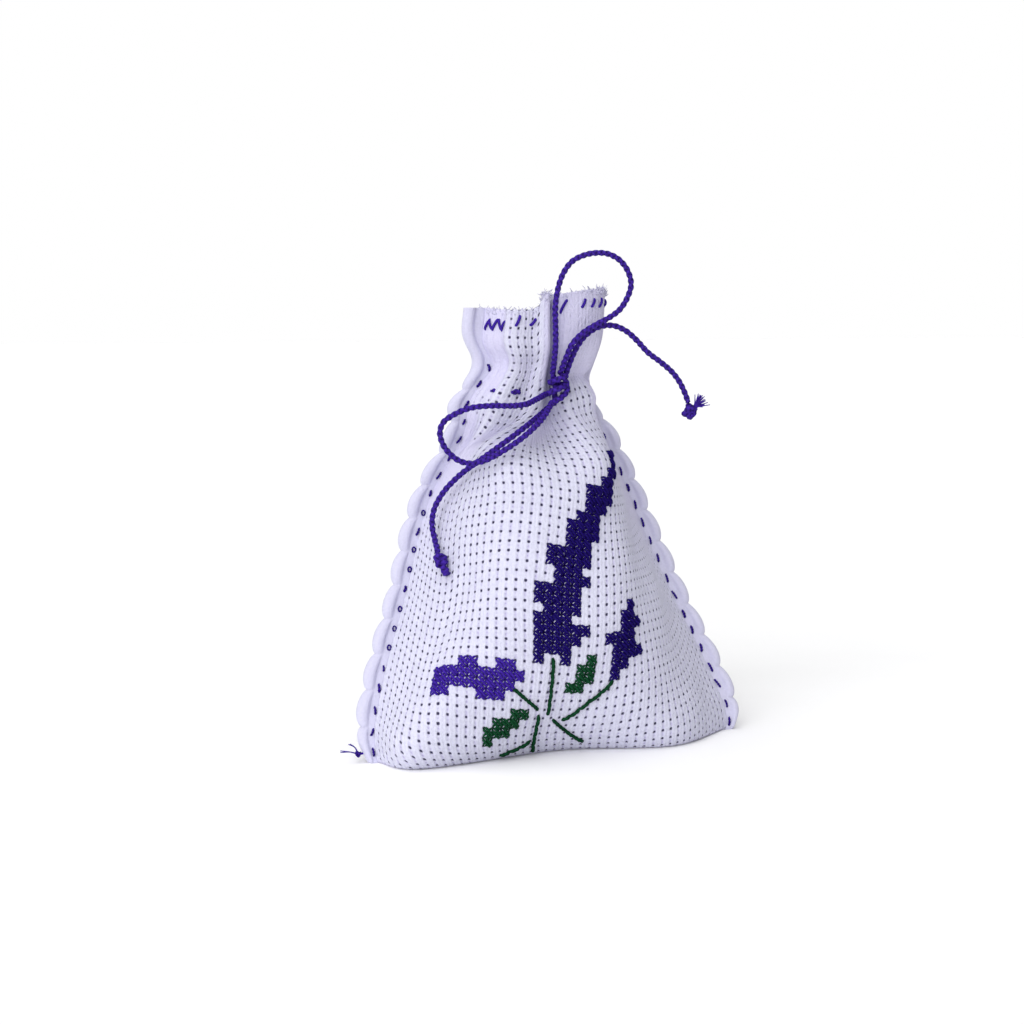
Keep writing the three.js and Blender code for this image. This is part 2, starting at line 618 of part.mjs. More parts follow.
sachet.add(
  mesh('lavender_filling', fillingGeometry(), driedBuds),
  mesh('left_seam_thread', seamThreadGeometry(-1), violetThread),
  mesh('right_seam_thread', seamThreadGeometry(1), violetThread),
  mesh('seam_thread_end', seamThreadEndGeometry(), violetThread),
  mesh('neck_drawstring', drawstringTube, violetCord),
  mesh('bow_knot', bowKnotGeometry(), violetCord),
  mesh('upper_loop', cordGeometry(UPPER_LOOP_ROUTE), violetCord),
  mesh('left_loop', cordGeometry(LEFT_LOOP_ROUTE), violetCord),
  mesh('right_tail', cordGeometry(RIGHT_TAIL_ROUTE), violetCord),
  mesh('right_end_knot', endKnotGeometry(RIGHT_END_KNOT), violetCord),
  mesh('right_tassel', cordEndGeometry(
    RIGHT_END_KNOT, RIGHT_TASSEL_END, END_KNOT_RADIUS + CLEARANCE, CORD_RADIUS, TASSEL_RADIUS), violetCord),
  mesh('left_tail', cordGeometry(LEFT_TAIL_ROUTE), violetCord),
  mesh('left_end_knot', endKnotGeometry(LEFT_END_KNOT), violetCord),
  mesh('left_stub', cordEndGeometry(
    LEFT_END_KNOT, LEFT_STUB_END, END_KNOT_RADIUS + CLEARANCE, CORD_RADIUS, CORD_RADIUS), violetCord),
  mesh('tall_spike', chartGeometry(TALL_SPIKE), violetThread),
  mesh('left_spike', chartGeometry(LEFT_SPIKE), violetThread),
  mesh('right_spike', chartGeometry(RIGHT_SPIKE), violetThread),
  mesh('left_leaf', chartGeometry(LEFT_LEAF), greenThread),
  mesh('right_leaf', chartGeometry(RIGHT_LEAF), greenThread),
  mesh('stems', stemsGeometry(), greenThread),
);

export default sachet;
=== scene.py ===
"""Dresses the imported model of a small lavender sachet: woven cloth, threads, cord and embroidery."""

import math
import random

import bpy
import numpy as np
from bpy.props import FloatProperty, FloatVectorProperty, IntProperty, PointerProperty
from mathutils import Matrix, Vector


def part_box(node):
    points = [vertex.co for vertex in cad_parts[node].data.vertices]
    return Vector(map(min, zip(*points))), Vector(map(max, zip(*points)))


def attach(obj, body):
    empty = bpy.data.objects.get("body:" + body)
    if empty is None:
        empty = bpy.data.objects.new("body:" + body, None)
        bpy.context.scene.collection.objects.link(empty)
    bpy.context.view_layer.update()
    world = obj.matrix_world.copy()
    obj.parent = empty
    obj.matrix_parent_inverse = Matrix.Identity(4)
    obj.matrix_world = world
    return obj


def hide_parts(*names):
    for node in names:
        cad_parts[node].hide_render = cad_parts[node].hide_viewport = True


bl_info = {
    "name": "Lavender sachet",
    "version": (1, 0, 0),
    "blender": (4, 5, 0),
    "location": "View3D > Sidebar > Sachet",
    "description": "Builds the cloth, threads, cord and embroidery of a sachet on its packed model",
    "category": "Object",
}

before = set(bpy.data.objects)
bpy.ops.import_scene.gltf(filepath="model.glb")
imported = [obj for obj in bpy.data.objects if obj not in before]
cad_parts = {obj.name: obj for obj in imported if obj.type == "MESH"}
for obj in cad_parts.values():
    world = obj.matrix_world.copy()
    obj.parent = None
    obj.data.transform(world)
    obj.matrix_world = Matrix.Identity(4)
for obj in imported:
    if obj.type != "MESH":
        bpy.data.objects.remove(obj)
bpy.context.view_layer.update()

MM = 0.001
FRONT = -1
BACK = 1
LEFT = -1
RIGHT = 1

# Cloth band, in millimetres and in squares of the weave
WEAVE_SQUARE = 25.4 / 14
HALF_SQUARES = 25
ROWS_TO_MOUTH = 58
CLOTH_THICKNESS = 0.5
LAYER_GAP = 0.3
LAYER_OFFSET = (LAYER_GAP + CLOTH_THICKNESS) / 2

# Sections of the bag from its base to its mouth: height, half distance between the seams, where the seams
# lie in depth, fullness of the back, the front's left, middle and right bulge, each as x and distance from
# the seams, and how far the left seam lies behind the right one
SECTIONS = np.array([
    (0, 38, 2, 1.9, -34, 8.4, 0, 4.4, 21, 10.4, -7),
    (3, 38, 2.5, 1.5, -34.5, 11.5, -2, 8.8, 20.5, 12.6, -6),
    (10, 36, 4.5, 1.1, -30, 15.3, -2, 16.1, 17.5, 15.6, -3.5),
    (28, 28.4, 9.5, 0.75, -17, 21.5, -2, 25.5, 12, 21.5, 0),
    (49, 20.7, 15, 0.65, -13, 20, -1, 23, 9.5, 19.5, 0),
    (62, 13.5, 13.5, 0.8, -9, 14.5, 0, 11.5, 8, 14.5, 0),
    (72, 7.5, 11, 1, -5.5, 7.5, 0.5, 3, 6, 8, 0),
    (80, 9.5, 11, 1, -6.5, 9, 0.5, 4, 7, 9, 0),
    (89, 11, 11.5, 1, -7, 9, 0.5, 5, 7.5, 9.5, 0)], dtype=float)
HEIGHTS = SECTIONS[:, 0]
NECK_HEIGHT = 72.0
MOUTH_HEIGHT = 89.0
HALF, SEAM_Y, BACK_FULLNESS, LEFT_X, LEFT_OUT, MIDDLE_X, MIDDLE_OUT, RIGHT_X, RIGHT_OUT, LEAN = range(1, 11)

# Steps of a section's outline and of a plan of pleats, and levels of the sides and the base of a panel
SECTION_STEPS = 40
PLEAT_STEPS = 16
PANEL_LEVELS = 240
BASE_LEVELS = 24

# How the weave lies on the bag: rows that are hidden under the middle of the base and how they lean to the
# right, how far the upper front is pulled to the right, and how squares crowd towards the seams
ROWS_UNDER = 4.5
ROWS_LEAN = 0.15
PULL_RIGHT = 0.18
PULL_FROM, PULL_TO = 26.0, 60.0
SEAM_CROWDING = 0.8
# Holes are shut where a square is narrower than the first share of its size, and open above the second;
# shut cloth also takes painted shade
CLOSED_AT = (0.5, 0.9)
# Columns between which the holes of the pleated front stay open, and the heights where the holes beside
# them shut and take painted shade
OPEN_PLEAT = (-21.0, -15.2)
LEFT_SHUT_HEIGHTS = (66.0, 71.0)
RIGHT_SHUT_HEIGHTS = (70.5, 72.5)
# Shares of the painted groove shade at whole columns, at half columns and at the specks between holes
GROOVE_SHARE = 0.3
FINE_SHARE = 0.1
SPECK_SHARE = 0.35
# Distances in squares at which holes, grooves, fine grooves and specks begin to fade and are gone
HOLE_FADE = (0.18, 0.275)
GROOVE_FADE = (0.02, 0.3)
FINE_FADE = (0.03, 0.2)
SPECK_FADE = (0.04, 0.14)
SPECK_ROWS = (0.36, 0.48)
# Scales of the cloth's noises: wandering threads, patches, fibres and fuzz
WANDER_SCALE = 1.7
PATCH_SCALE = 0.35
FIBRE_SCALE = 9.0
FUZZ_SCALE = 3.1
# Strength and height in metres of the bump of the cloth, its edge, the threads and the buds
CLOTH_BUMP = (0.6, 0.0002)
EDGE_BUMP = (0.3, 0.0003)
THREAD_BUMP = (0.6, 0.00012)
BUD_BUMP = (0.8, 0.001)
# Share of the ribs that is lost where the holes are closed, at the left and at the right of the cloth
RIBS_LOST = (0.7, 0.1)
RIBS_LOST_COLUMNS = (-8, -2)

# Pleats of the neck and frill: column, x and y where the frill stands, from the left seam to the right one
FRONT_PLEATS = np.array([
    (-25, -12.3, 11), (-22.5, -11, 7), (-20.5, -9.8, 3.2), (-18.5, -6.8, 2.4), (-16.5, -3.6, 2.6),
    (-14.5, -1.2, 1.6), (-10, 0, 5.5), (-5, 0.4, 8.3), (-1, 1.2, 6), (1.5, 3.4, 2.6), (4, 7, 2.1),
    (6.5, 10.6, 4), (12, 12.6, 7.5), (25, 12, 11)], dtype=float)
BACK_PLEATS = np.array([
    (-25, -12.3, 11), (-20, -11.6, 14.4), (-15, -8, 18.6), (-9, -4.5, 17), (-3, -2.2, 14.8),
    (3, 1.5, 18.8), (9, 5, 18.2), (14, 7.6, 15.5), (19, 10.8, 17.4), (25, 12, 11)], dtype=float)
PLEATS_FROM, PLEATS_TO = 55.0, 68.0
FRILL_HEIGHT = 80.0
# How far the pleats are drawn in at each height, to the left and to the right
LEFT_DRAW = np.array([
    (57, 1.36), (62, 1.28), (66.5, 1.2), (69.5, 1.06), (72.4, 0.84), (75, 0.72), (78, 0.84), (81, 0.96),
    (86.5, 0.89), (89, 0.88)])
RIGHT_DRAW = np.array([
    (57, 1.3), (62, 1.06), (66.5, 0.86), (69, 0.8), (72, 0.79), (76, 0.88), (81, 1), (89, 1.02)])
# Heights round each height that the drawing in is averaged over
DRAW_NEAR = np.linspace(-2.0, 2.0, 9)
NECK_SCALE_DEPTH = 0.8
NECK_SET_BACK = 1.4
PLEAT_MIDDLE_Y = 11.0
# Gathers of the neck: depth, reach up and down, and squares from one to the next
GATHER_DEPTH = 0.45
GATHER_REACH = 9.0
GATHER_SQUARES = 5.5
# Bulge beside the knot and the dent above it: columns, then depth, height and reach
BULGE_STARTS, BULGE_ENDS = (0.8, 2.5), (9, 14)
BULGE_DEPTH, BULGE_HEIGHT, BULGE_REACH = 1.3, 68, 2.6
DENT_DEPTH, DENT_HEIGHT, DENT_REACH = 1.1, 72.5, 1.3
# Broad pleat left of the knot: heights and columns, and the crease at its left with column, depth and reach
PLEAT_RISES, PLEAT_SETTLES = (55, 61), (72, 76)
PLEAT_STARTS, PLEAT_ENDS = (-20.8, -19.6), (-16, -14.2)
CREASE_DEPTH, CREASE_COLUMN, CREASE_REACH = 1.8, -21.9, 1.1
# Lumps of the filling: height of large and small ones, and heights over which they grow and fade
LARGE_LUMPS, SMALL_LUMPS = 0.35, 0.2
LUMPS_GROW, LUMPS_FADE, LUMPS_END = 8, 10, 66
# Dip of the mouth below its height, for columns of the front and of the back
MOUTH_DIP = np.array([
    (-25, 3), (-23.5, 3.2), (-21, 3.4), (-16.4, 3.3), (-15.6, 1.6), (-14.8, 0.4), (-8, 0.4), (0, 0.4),
    (4.5, -0.6), (8, -0.9), (14, -0.2), (25, 0.4)])
BACK_MOUTH_DIP = np.array([(-25, 3.5), (-20, 4.2), (9, 4.2), (15, 1.5), (25, 0.5)])
# Frayed threads of the mouth: share of short ones, how far short and long ones rise, and their radii
FRAYED_THREADS = 900
SHORT_SHARE = 0.97
SHORT_RISE = (0.25, 0.9)
LONG_RISE = (1.2, 2.2)
FRAY_RADII = (0.06, 0.13)

# Lavender inside the bag
FILL_HALF_SQUARES = 23
FILL_FROM, FILL_TOP = 1.8, 56.0
FILL_INSET = 2.2
FILL_LUMPS = 0.3
FILL_COLUMNS, FILL_ROWS = 48, 52
BUDS_A_METRE = 420.0
BUD_COLOUR = (0.10, 0.08, 0.20)
STALK_COLOUR = (0.16, 0.17, 0.12)

# Scalloped edge of the band and the running stitch beside it
SEAM_SLOT = 1.3
EDGING_WIDTH = 2.9
SCALLOP_DEPTH = 1.3
SCALLOP_PITCH = 6.4
STITCH_PITCH = 3.63
# Running stitch: height over the band, stray up and down, half length, its excess at the right, and slant
STITCH_CLEARANCE = 0.28
STITCH_STRAY = 0.25
STITCH_REACH = (0.5, 0.75)
RIGHT_STITCH_EXTRA = 0.2
STITCH_SLANT = 0.3
# Loose stitches of the left seam: heights, share and size of the small loops
LOOSE_FROM, LOOSE_TO = 18.0, 52.0
LOOSE_SHARE = 0.45
LOOP_RADIUS = 0.36
# Knotted end of the left seam's thread: distance from its box, height, height and sag of the link to the
# seam, radii of the thread and of its frayed ends, and where those ends point
END_SET_IN = 0.9
END_HEIGHT = 1.7
LINK_HEIGHT = 2.4
LINK_SAG = 0.2
END_RADIUS = 0.24
END_FRAY_RADIUS = 0.14
END_REACHES = ((-1.6, -1.2, 2.4), (-3, 0.2, 0.4))
# Scalloped edge: tuck under the cloth, height of its puff, middle of its lobe, and its rows and columns
EDGING_TUCK = 0.25
PUFF = 0.85
LOBE_MIDDLE = 0.72
EDGING_ROWS = 421
EDGING_COLUMNS = 19
EDGING_CROWDING = 1.3
# The edges narrow towards the corners of the base
CORNER_WIDTH = 0.6
CORNER_HEIGHT = 8.0
# Shares of the edging's width between which its two layers come together
RIM_SHARES = (0.3, 0.9)
# The left edge is smooth above the neck and hides the stitches there
SMOOTH_HEIGHTS = (70.0, 75.0)
SMOOTH_SWELL = 0.9
SMOOTH_SHARE = 0.9
# The right edge turns back beside the neck
FOLD_BACK = math.radians(70)
FOLD_BACK_HEIGHTS = (60.0, 70.0)

# Bow: routes of the cord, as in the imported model
UPPER_LOOP_ROUTE = [
    (0.3, 2.5, 73.2), (-0.1, 0.5, 76), (-0.4, -1, 79.5), (-0.6, -1.4, 83), (-0.6, -1.4, 86.5),
    (0, -1.4, 90), (1.1, -1.4, 92.8), (2.8, -1.4, 94.9), (5.2, -1.4, 96.1), (7.8, -1.4, 96.6),
    (10.4, -1.4, 96.4), (12.8, -1.4, 95.2), (14.5, -1.4, 93.1), (15.2, -1.4, 90.5), (14.4, -1.4, 87.9),
    (12.8, -1.4, 85.6), (10.5, -1.4, 84), (8, -1.4, 82.8), (5.1, -1.4, 81.1), (3, -1.2, 79),
    (2.1, 0, 76.2), (1.7, 2.2, 73.1)]
RIGHT_TAIL_ROUTE = [
    (3, 2.8, 72.5), (3.6, 1.4, 75.6), (4.6, 0.4, 78.4), (6.3, 0.2, 80.6), (9, 0.2, 82.2), (12, 0.2, 82.5),
    (14.7, 0.2, 81.5), (17, 0.2, 79.7), (19.5, 0.2, 77.2), (22.2, 0.2, 75.3), (24.6, 0.2, 73.4),
    (26.3, 0.2, 71.4), (27.6, 0.2, 69), (28.3, 0.2, 67.2)]
LEFT_LOOP_ROUTE = [
    (-1.1, 2.7, 69.1), (-4.3, -0.8, 68.3), (-7.5, -3.4, 67.5), (-11, -4.4, 67.3), (-15, -4.6, 67.4),
    (-19, -4.2, 67), (-22, -3.6, 65.8), (-24, -3.1, 64.3), (-24.6, -2.9, 62.4), (-24.1, -2.9, 60.3),
    (-22.8, -3.1, 58.4), (-20.8, -3.4, 56.9), (-18.6, -3.8, 56.4), (-16.2, -4.3, 56.9), (-13.6, -4.9, 58.2),
    (-10.2, -5.2, 60.2), (-6.7, -4.7, 62.6), (-3.4, -2.6, 65), (-0.5, 0.9, 67.5)]
LEFT_TAIL_ROUTE = [
    (0.7, 2.9, 67.4), (-3.4, 0, 65.1), (-7.6, -2.8, 62.9), (-11.6, -2.2, 60), (-14.9, 0.6, 57),
    (-18.3, 4.2, 53.6), (-21, 6.2, 50.2), (-22.7, 6.9, 46.9), (-23.3, 6.5, 43.8), (-23.2, 5, 41),
    (-23.3, 2.8, 38.8)]
KNOT_ROUTES = [
    [(0.3, 2.5, 73.6), (0.5, 2.5, 72.2), (0.8, 2.6, 70.8), (0.9, 2.8, 69), (0.7, 2.9, 67)],
    [(1.7, 2.2, 73.5), (2.4, 2, 72.4), (3, 1.7, 71), (2.8, 1.4, 69.6), (1.5, 1.1, 68.4), (-0.5, 0.9, 67.5)],
    [(3, 2.8, 72.5), (2.7, 1.6, 72.7), (1.6, 0.9, 72.4), (0.3, 1.2, 71.8), (-0.2, 2.5, 71.5),
     (0.6, 3.8, 71.3), (2, 3.6, 71.1), (2.6, 2.1, 70.9), (1.9, 1, 70.6), (0.7, 0.8, 70.1),
     (-0.3, 1.4, 69.6), (-1.1, 2.7, 69.1)]]
# Step along the cord and facets round it
CORD_STEP = 0.22
CORD_SIDES = 14
# Share of the cord's radius that is the radius of a ply
PLY_SHARE = 0.74
RIGHT_END_KNOT = (28.6, 0.2, 65.4)
RIGHT_TASSEL_END = (31.2, -0.4, 67.4)
LEFT_END_KNOT = (-23.2, 1.6, 37.3)
LEFT_STUB_END = (-22.6, -0.6, 34.9)
END_KNOT_RADIUS = 1.4
END_KNOT_HEIGHT = 3.2
STUB_FLARE = 1.5
# Tassel: threads, their radius, how far they taper, spread and reach
TASSEL_THREADS = 34
TASSEL_RADIUS = 0.17
TASSEL_TAPER = 0.45
TASSEL_SPREAD = 1.3
TASSEL_REACH = (0.85, 1.12)

# Drawstring through the neck: side, column and whether the cord lies outside or inside the cloth
DRAWSTRING = [
    (FRONT, 0.6, 1), (FRONT, 4, -1), (FRONT, 10, -1), (FRONT, 20, -1), (BACK, 20, -1), (BACK, 13, -1),
    (BACK, 7, -1), (BACK, 0, 1), (BACK, -7, -1), (BACK, -13, -1), (BACK, -20, -1), (FRONT, -19.9, -1),
    (FRONT, -18.4, 1), (FRONT, -16.9, -1), (FRONT, -12, -1), (FRONT, -7, -1), (FRONT, -1.6, 1)]
DRAWSTRING_HEIGHT = 69.6
DRAWSTRING_CLEARANCE = 0.2

# Stitch charts of the sprig: column and row of the lower left corner, then the lines from the top down
TALL_SPIKE = (-5, 16, [
    ".........X", ".........X", "........XX", ".......XX.", ".....XXXX.", ".....XXXX.", ".....XXX..",
    "....XXX...", "...XXXX...", "...XXXX...", "...XXX....", ".XXXXX....", ".XXXXX....", "..XXX.....",
    "..XXXX....", "XXXXX.....", "XXXXX.....", ".XXXX.....", "XXXX......", "XXXXXX....", "XXXXX.....",
    "XXXX......", "X..X......"])
LEFT_SPIKE = (-16, 12, ["...XX..XX.", "XXXXXXXXXX", "XXXXXXXXX.", "XX...XXX.."])
RIGHT_SPIKE = (3, 14, ["...X.", "..XX.", "..XXX", "XXXX.", ".XXX.", ".XXXX", ".XX..", ".X..."])
LEFT_LEAF = (-10, 7, ["...XX", ".XXX.", "XXX..", "X...."])
RIGHT_LEAF = (-1, 13, ["..X", ".XX", ".XX", "XX."])
STEMS = [
    [(-2.9, 16.5), (-2.8, 15), (-2.75, 13.5), (-2.65, 12), (-2.6, 10.5)],
    [(-3.7, 10.4), (-3.65, 9.1), (-3.65, 7.8), (-3.75, 6.5), (-3.8, 5.3)],
    [(-7, 13.2), (-5.4, 12.1), (-3.9, 11.1)],
    [(4.3, 13.9), (3.2, 12.8), (2, 11.9), (1.1, 11.1), (0.1, 10.2), (-0.6, 9.8)],
    [(-1.8, 9.8), (0.1, 8.3), (1.1, 7.5), (2.2, 6.7)],
    [(-4.2, 7.1), (-5.5, 6.3), (-6.8, 5.8), (-8, 5.3)]]

# Cross stitches: thread radius, heights of the lower and the upper leg, and in squares the length of a leg
# and how far its two strands lie apart
CROSS_RADIUS = 0.27
CROSS_UNDER = 0.12
CROSS_OVER = 0.5
CROSS_LEG = 0.94
STRANDS_APART = 0.12
# Back stitches of the stems: thread radius, length of a full twist and height over the cloth
STEM_RADIUS = 0.4
STEM_TWIST = 2.0
STEM_HEIGHT = 0.35
# Depth at which a stitch ends below the cloth
NEEDLE_DEPTH = 0.25

# Stitches below the raw edge of the mouth: column and row of both ends, thread radius and height
MOUTH_STITCHES = [
    ((-24.4, 55.4), (-23.7, 56.7)), ((-23.8, 56.8), (-23.2, 55.6)), ((-23.2, 55.5), (-22.6, 56.9)),
    ((-22.5, 56.9), (-22, 55.7)), ((-22, 55.6), (-21.3, 56.8)), ((-19.4, 56.2), (-18.9, 57.4)),
    ((-17.4, 56.3), (-16.5, 57)), ((-11.5, 56.3), (-10.4, 57.2)), ((-6.5, 56.4), (-5.3, 57.1)),
    ((0.6, 55.9), (1.5, 57.3)), ((3.3, 56.2), (3.8, 57.1)), ((4.7, 56.1), (5.2, 57)), ((6, 56), (6.6, 57)),
    ((9.4, 56.1), (10.2, 56.9)), ((14.6, 56), (15.8, 56.9)), ((19.6, 56), (20.6, 56.9))]
MOUTH_STITCH_RADIUS = 0.3
MOUTH_STITCH_HEIGHT = 0.35

# Camera of the photograph
CAMERA_PLACE = (-147.1, -391.4, 87.5)
CAMERA_YAW = 20.5
IMAGE_SIZE = 1024
FOCAL_PIXELS = 2142.0
AXIS_RIGHT_OF_CENTRE = 40.0
HORIZON_ABOVE_CENTRE = 212.0
SENSOR_WIDTH = 36.0
CLIP_START = 0.01
# Floor in metres, and where the key and top light come from with their spread in degrees
FLOOR_SIZE = 8
KEY_FROM = (-0.75, -0.8, 0.5)
KEY_SPREAD = 50.0
TOP_FROM = (-0.1, 0.1, 1.0)
TOP_SPREAD = 70.0
# The surround is brightest towards this direction, and opposite to it has this share of its strength
SURROUND_FROM = (-0.45, -0.85, 0.3)
SURROUND_SHARE = 0.05
SURROUND_COLOUR = (0.98, 0.98, 1.0, 1.0)
BACKDROP_COLOUR = (1.0, 1.0, 1.0, 1.0)


def colour_property(name, description, default):
    return FloatVectorProperty(
        name=name, description=description, subtype="COLOR", size=3, default=default, min=0, max=1)


def length_property(name, description, default):
    return FloatProperty(name=name, description=description, default=default, unit="LENGTH")


class SachetCloth(bpy.types.PropertyGroup):
    """Cloth band"""
    colour: colour_property("Cloth colour", "Colour of the woven cloth", (0.70, 0.70, 0.85))
    hole_colour: colour_property("Hole colour", "Colour in the holes of the weave", (0.05, 0.045, 0.10))
    # Painted shade in the grooves between the ribs and in the specks between holes
    painted_groove_shade: colour_property("Painted groove shade", "Painted shade between the ribs", (0.42, 0.38, 0.62))
    # Painted shade: the darker lavender that gathered, closed cloth is mixed towards
    painted_shade_colour: colour_property("Painted shade colour", "Painted shade of gathered cloth", (0.64, 0.61, 0.82))
    edge_colour: colour_property("Edge colour", "Colour of the scalloped edge", (0.60, 0.59, 0.75))
    facets: IntProperty(
        name="Facets a square", description="Facets along each square", default=6, min=2, max=8)
    relief: length_property("Weave relief", "Height of the ribs of the weave", 0.0001)
    hole_depth: length_property("Hole depth", "Depth of the holes between the blocks", 0.00032)


class SachetCord(bpy.types.PropertyGroup):
    """Cord of the bow"""
    diameter: length_property("Cord diameter", "Diameter over both plies", 0.00125)
    twist: length_property("Twist", "Length of one full twist of the cord", 0.0025)
    colour: colour_property("Cord colour", "Colour of the cord", (0.036, 0.013, 0.215))


class SachetThread(bpy.types.PropertyGroup):
    """Sewing and embroidery threads"""
    diameter: length_property("Thread diameter", "Diameter of the sewing thread", 0.00055)
    violet: colour_property("Violet", "Colour of the violet thread", (0.030, 0.012, 0.19))
    dark_violet: colour_property("Dark violet", "Colour of the dark violet thread", (0.007, 0.003, 0.070))
    green: colour_property("Green", "Colour of the green thread", (0.004, 0.036, 0.014))


class SachetStage(bpy.types.PropertyGroup):
    """Floor and light"""
    floor_colour: colour_property("Floor colour", "Colour of the plain floor", (0.99, 0.99, 0.99))
    key: FloatProperty(name="Key light", description="Broad light from the front", default=1.95)
    top: FloatProperty(name="Top light", description="Broad light from above", default=1.65)
    surround: FloatProperty(name="Surround", description="Light from all round", default=0.45)


# Shape of the bag


def hermite(t, start, leaving, end, arriving):
    """Cubic from start to end with a slope at each, for shares t from 0 to 1."""
    return ((2 * t**3 - 3 * t**2 + 1) * start + (t**3 - 2 * t**2 + t) * leaving
            + (3 * t**2 - 2 * t**3) * end + (t**3 - t**2) * arriving)


def hump(value, middle, reach):
    """Smooth hump of height 1 about a middle."""
    return np.exp(-((value - middle) / reach) ** 2)


def rising(column, z):
    """Value of a column of the sections at height z, smooth and without overshoot."""
    values = SECTIONS[:, column]
    last = len(HEIGHTS) - 1
    i = int(np.clip(np.searchsorted(HEIGHTS, z) - 1, 0, last - 1))
    rise = HEIGHTS[i + 1] - HEIGHTS[i]
    steepness = np.diff(values) / np.diff(HEIGHTS)

    def slope(k):
        if k == 0:
            return steepness[0]
        if k == last:
            return steepness[-1]
        below, above = steepness[k - 1], steepness[k]
        if below * above <= 0:
            return 0.0
        return 2 * below * above / (below + above)

    t = (z - HEIGHTS[i]) / rise
    return hermite(t, values[i], slope(i) * rise, values[i + 1], slope(i + 1) * rise)


def smooth_route(points, per_span=24):
    """Centripetal Catmull-Rom curve through points, with per_span steps between two of them."""
    p = np.asarray(points, float)
    p = np.vstack([2 * p[0] - p[1], p, 2 * p[-1] - p[-2]])
    share = np.linspace(0, 1, per_span, endpoint=False)[:, None]
    out = []
    for k in range(1, len(p) - 2):
        a, b, c, d = p[k - 1:k + 3]
        ab, bc, cd = (max(np.linalg.norm(v) ** 0.5, 1e-4) for v in (b - a, c - b, d - c))
        start = ((b - a) / ab - (c - a) / (ab + bc) + (c - b) / bc) * bc
        end = ((c - b) / bc - (d - b) / (bc + cd) + (d - c) / cd) * bc
        out.append(hermite(share, b, start, c, end))
    out.append(p[-2:-1])
    return np.vstack(out)


def lengths_along(points):
    """Distance of each point from the first, along the points."""
    return np.concatenate([[0], np.cumsum(np.linalg.norm(np.diff(points, axis=0), axis=1))])


def spaced(points, step):
    """The same line with points an even step apart."""
    reached = lengths_along(points)
    count = max(2, int(round(reached[-1] / step)) + 1)
    wanted = np.linspace(0, reached[-1], count)
    return np.column_stack([np.interp(wanted, reached, points[:, axis]) for axis in range(3)])


def even_route(points, step, per_span=24):
    """Smooth line through points, with points an even step apart."""
    return spaced(smooth_route(points, per_span), step)


def section(side, z):
    """Middle of the cloth of one panel at height z, from the left seam to the right one."""
    half = rising(HALF, z)
    fullness = 1.0 if side == FRONT else rising(BACK_FULLNESS, z)
    bulges = [(rising(x, z), fullness * rising(out, z))
              for x, out in ((LEFT_X, LEFT_OUT), (MIDDLE_X, MIDDLE_OUT), (RIGHT_X, RIGHT_OUT))]
    if side == BACK:
        bulges = [(-x, out) for x, out in reversed(bulges)]
    outline = np.array([(-half, 0), *bulges, (half, 0)])
    curve = smooth_route(outline, SECTION_STEPS)
    between = rising(SEAM_Y, z) + rising(LEAN, z) * (1 - curve[:, 0] / half) / 2
    y = between + side * (LAYER_OFFSET + curve[:, 1])
    return np.column_stack([curve[:, 0], y, np.full(len(curve), z)])


def eased(value, low, high):
    """Share from 0 at low to 1 at high, without corners."""
    share = np.clip((np.asarray(value, float) - low) / (high - low), 0, 1)
    return share * share * (3 - 2 * share)


def body_row(side, columns, z):
    """Points of the filled part of a panel at height z in columns of the weave, crowded at the seams."""
    curve = section(side, z)
    reached = lengths_along(curve)
    gather = max(1.0, 2 * HALF_SQUARES * WEAVE_SQUARE / reached[-1])
    power = min(2.0, 1 + SEAM_CROWDING / max(gather - 1, 0.01))
    t = np.asarray(columns, float) / HALF_SQUARES
    share = t * gather / (1 + (gather - 1) * np.abs(t) ** power)
    if side == FRONT:
        share = share + PULL_RIGHT * eased(z, PULL_FROM, PULL_TO) * (1 - share**2)
    wanted = np.clip((1 + share) / 2, 0, 1) * reached[-1]
    return np.column_stack([np.interp(wanted, reached, curve[:, axis]) for axis in range(3)])


def pleat_row(side, columns, z):
    """Points of the pleated neck and frill at height z, drawn together at the neck."""
    plan = FRONT_PLEATS if side == FRONT else BACK_PLEATS
    curve = smooth_route(plan[:, 1:], PLEAT_STEPS)
    span = np.interp(columns, plan[:, 0], np.arange(len(plan)) * PLEAT_STEPS)
    x, y = (np.interp(span, np.arange(len(curve)), curve[:, axis]) for axis in range(2))
    open_up = float(eased(z, NECK_HEIGHT, FRILL_HEIGHT))
    near = z + DRAW_NEAR
    left, right = (np.interp(near, draw[:, 0], draw[:, 1]).mean() for draw in (LEFT_DRAW, RIGHT_DRAW))
    depth = NECK_SCALE_DEPTH + (1 - NECK_SCALE_DEPTH) * open_up
    x = np.where(x < 0, x * left, x * right)
    ends = 1 - np.abs(np.asarray(columns, float) / HALF_SQUARES) ** 4
    y = PLEAT_MIDDLE_Y + (y - PLEAT_MIDDLE_Y) * depth + side * LAYER_OFFSET * (1 - ends)
    if side == FRONT:
        y = y + NECK_SET_BACK * (1 - open_up) * ends
    return np.column_stack([x, y, np.full(len(x), z)])


def panel_row(side, columns, z):
    """Points of a panel at height z in columns of the weave."""
    pleated = float(eased(z, PLEATS_FROM, PLEATS_TO))
    if pleated == 0:
        return body_row(side, columns, z)
    if pleated == 1:
        return pleat_row(side, columns, z)
    return (1 - pleated) * body_row(side, columns, z) + pleated * pleat_row(side, columns, z)


def seam_point(hand, z):
    """Where a side seam is at height z, between the two layers."""
    x, y, z = panel_row(FRONT, [hand * HALF_SQUARES], z)[0]
    return np.array([x, y + LAYER_OFFSET, z])


def blur(values, passes):
    """Running mean along the first axis that leaves both ends in place."""
    out = values.copy()
    for turn in range(passes):
        middle = (out[:-2] + 2 * out[1:-1] + out[2:]) / 4
        out = np.concatenate([out[:1], middle, out[-1:]])
    return out


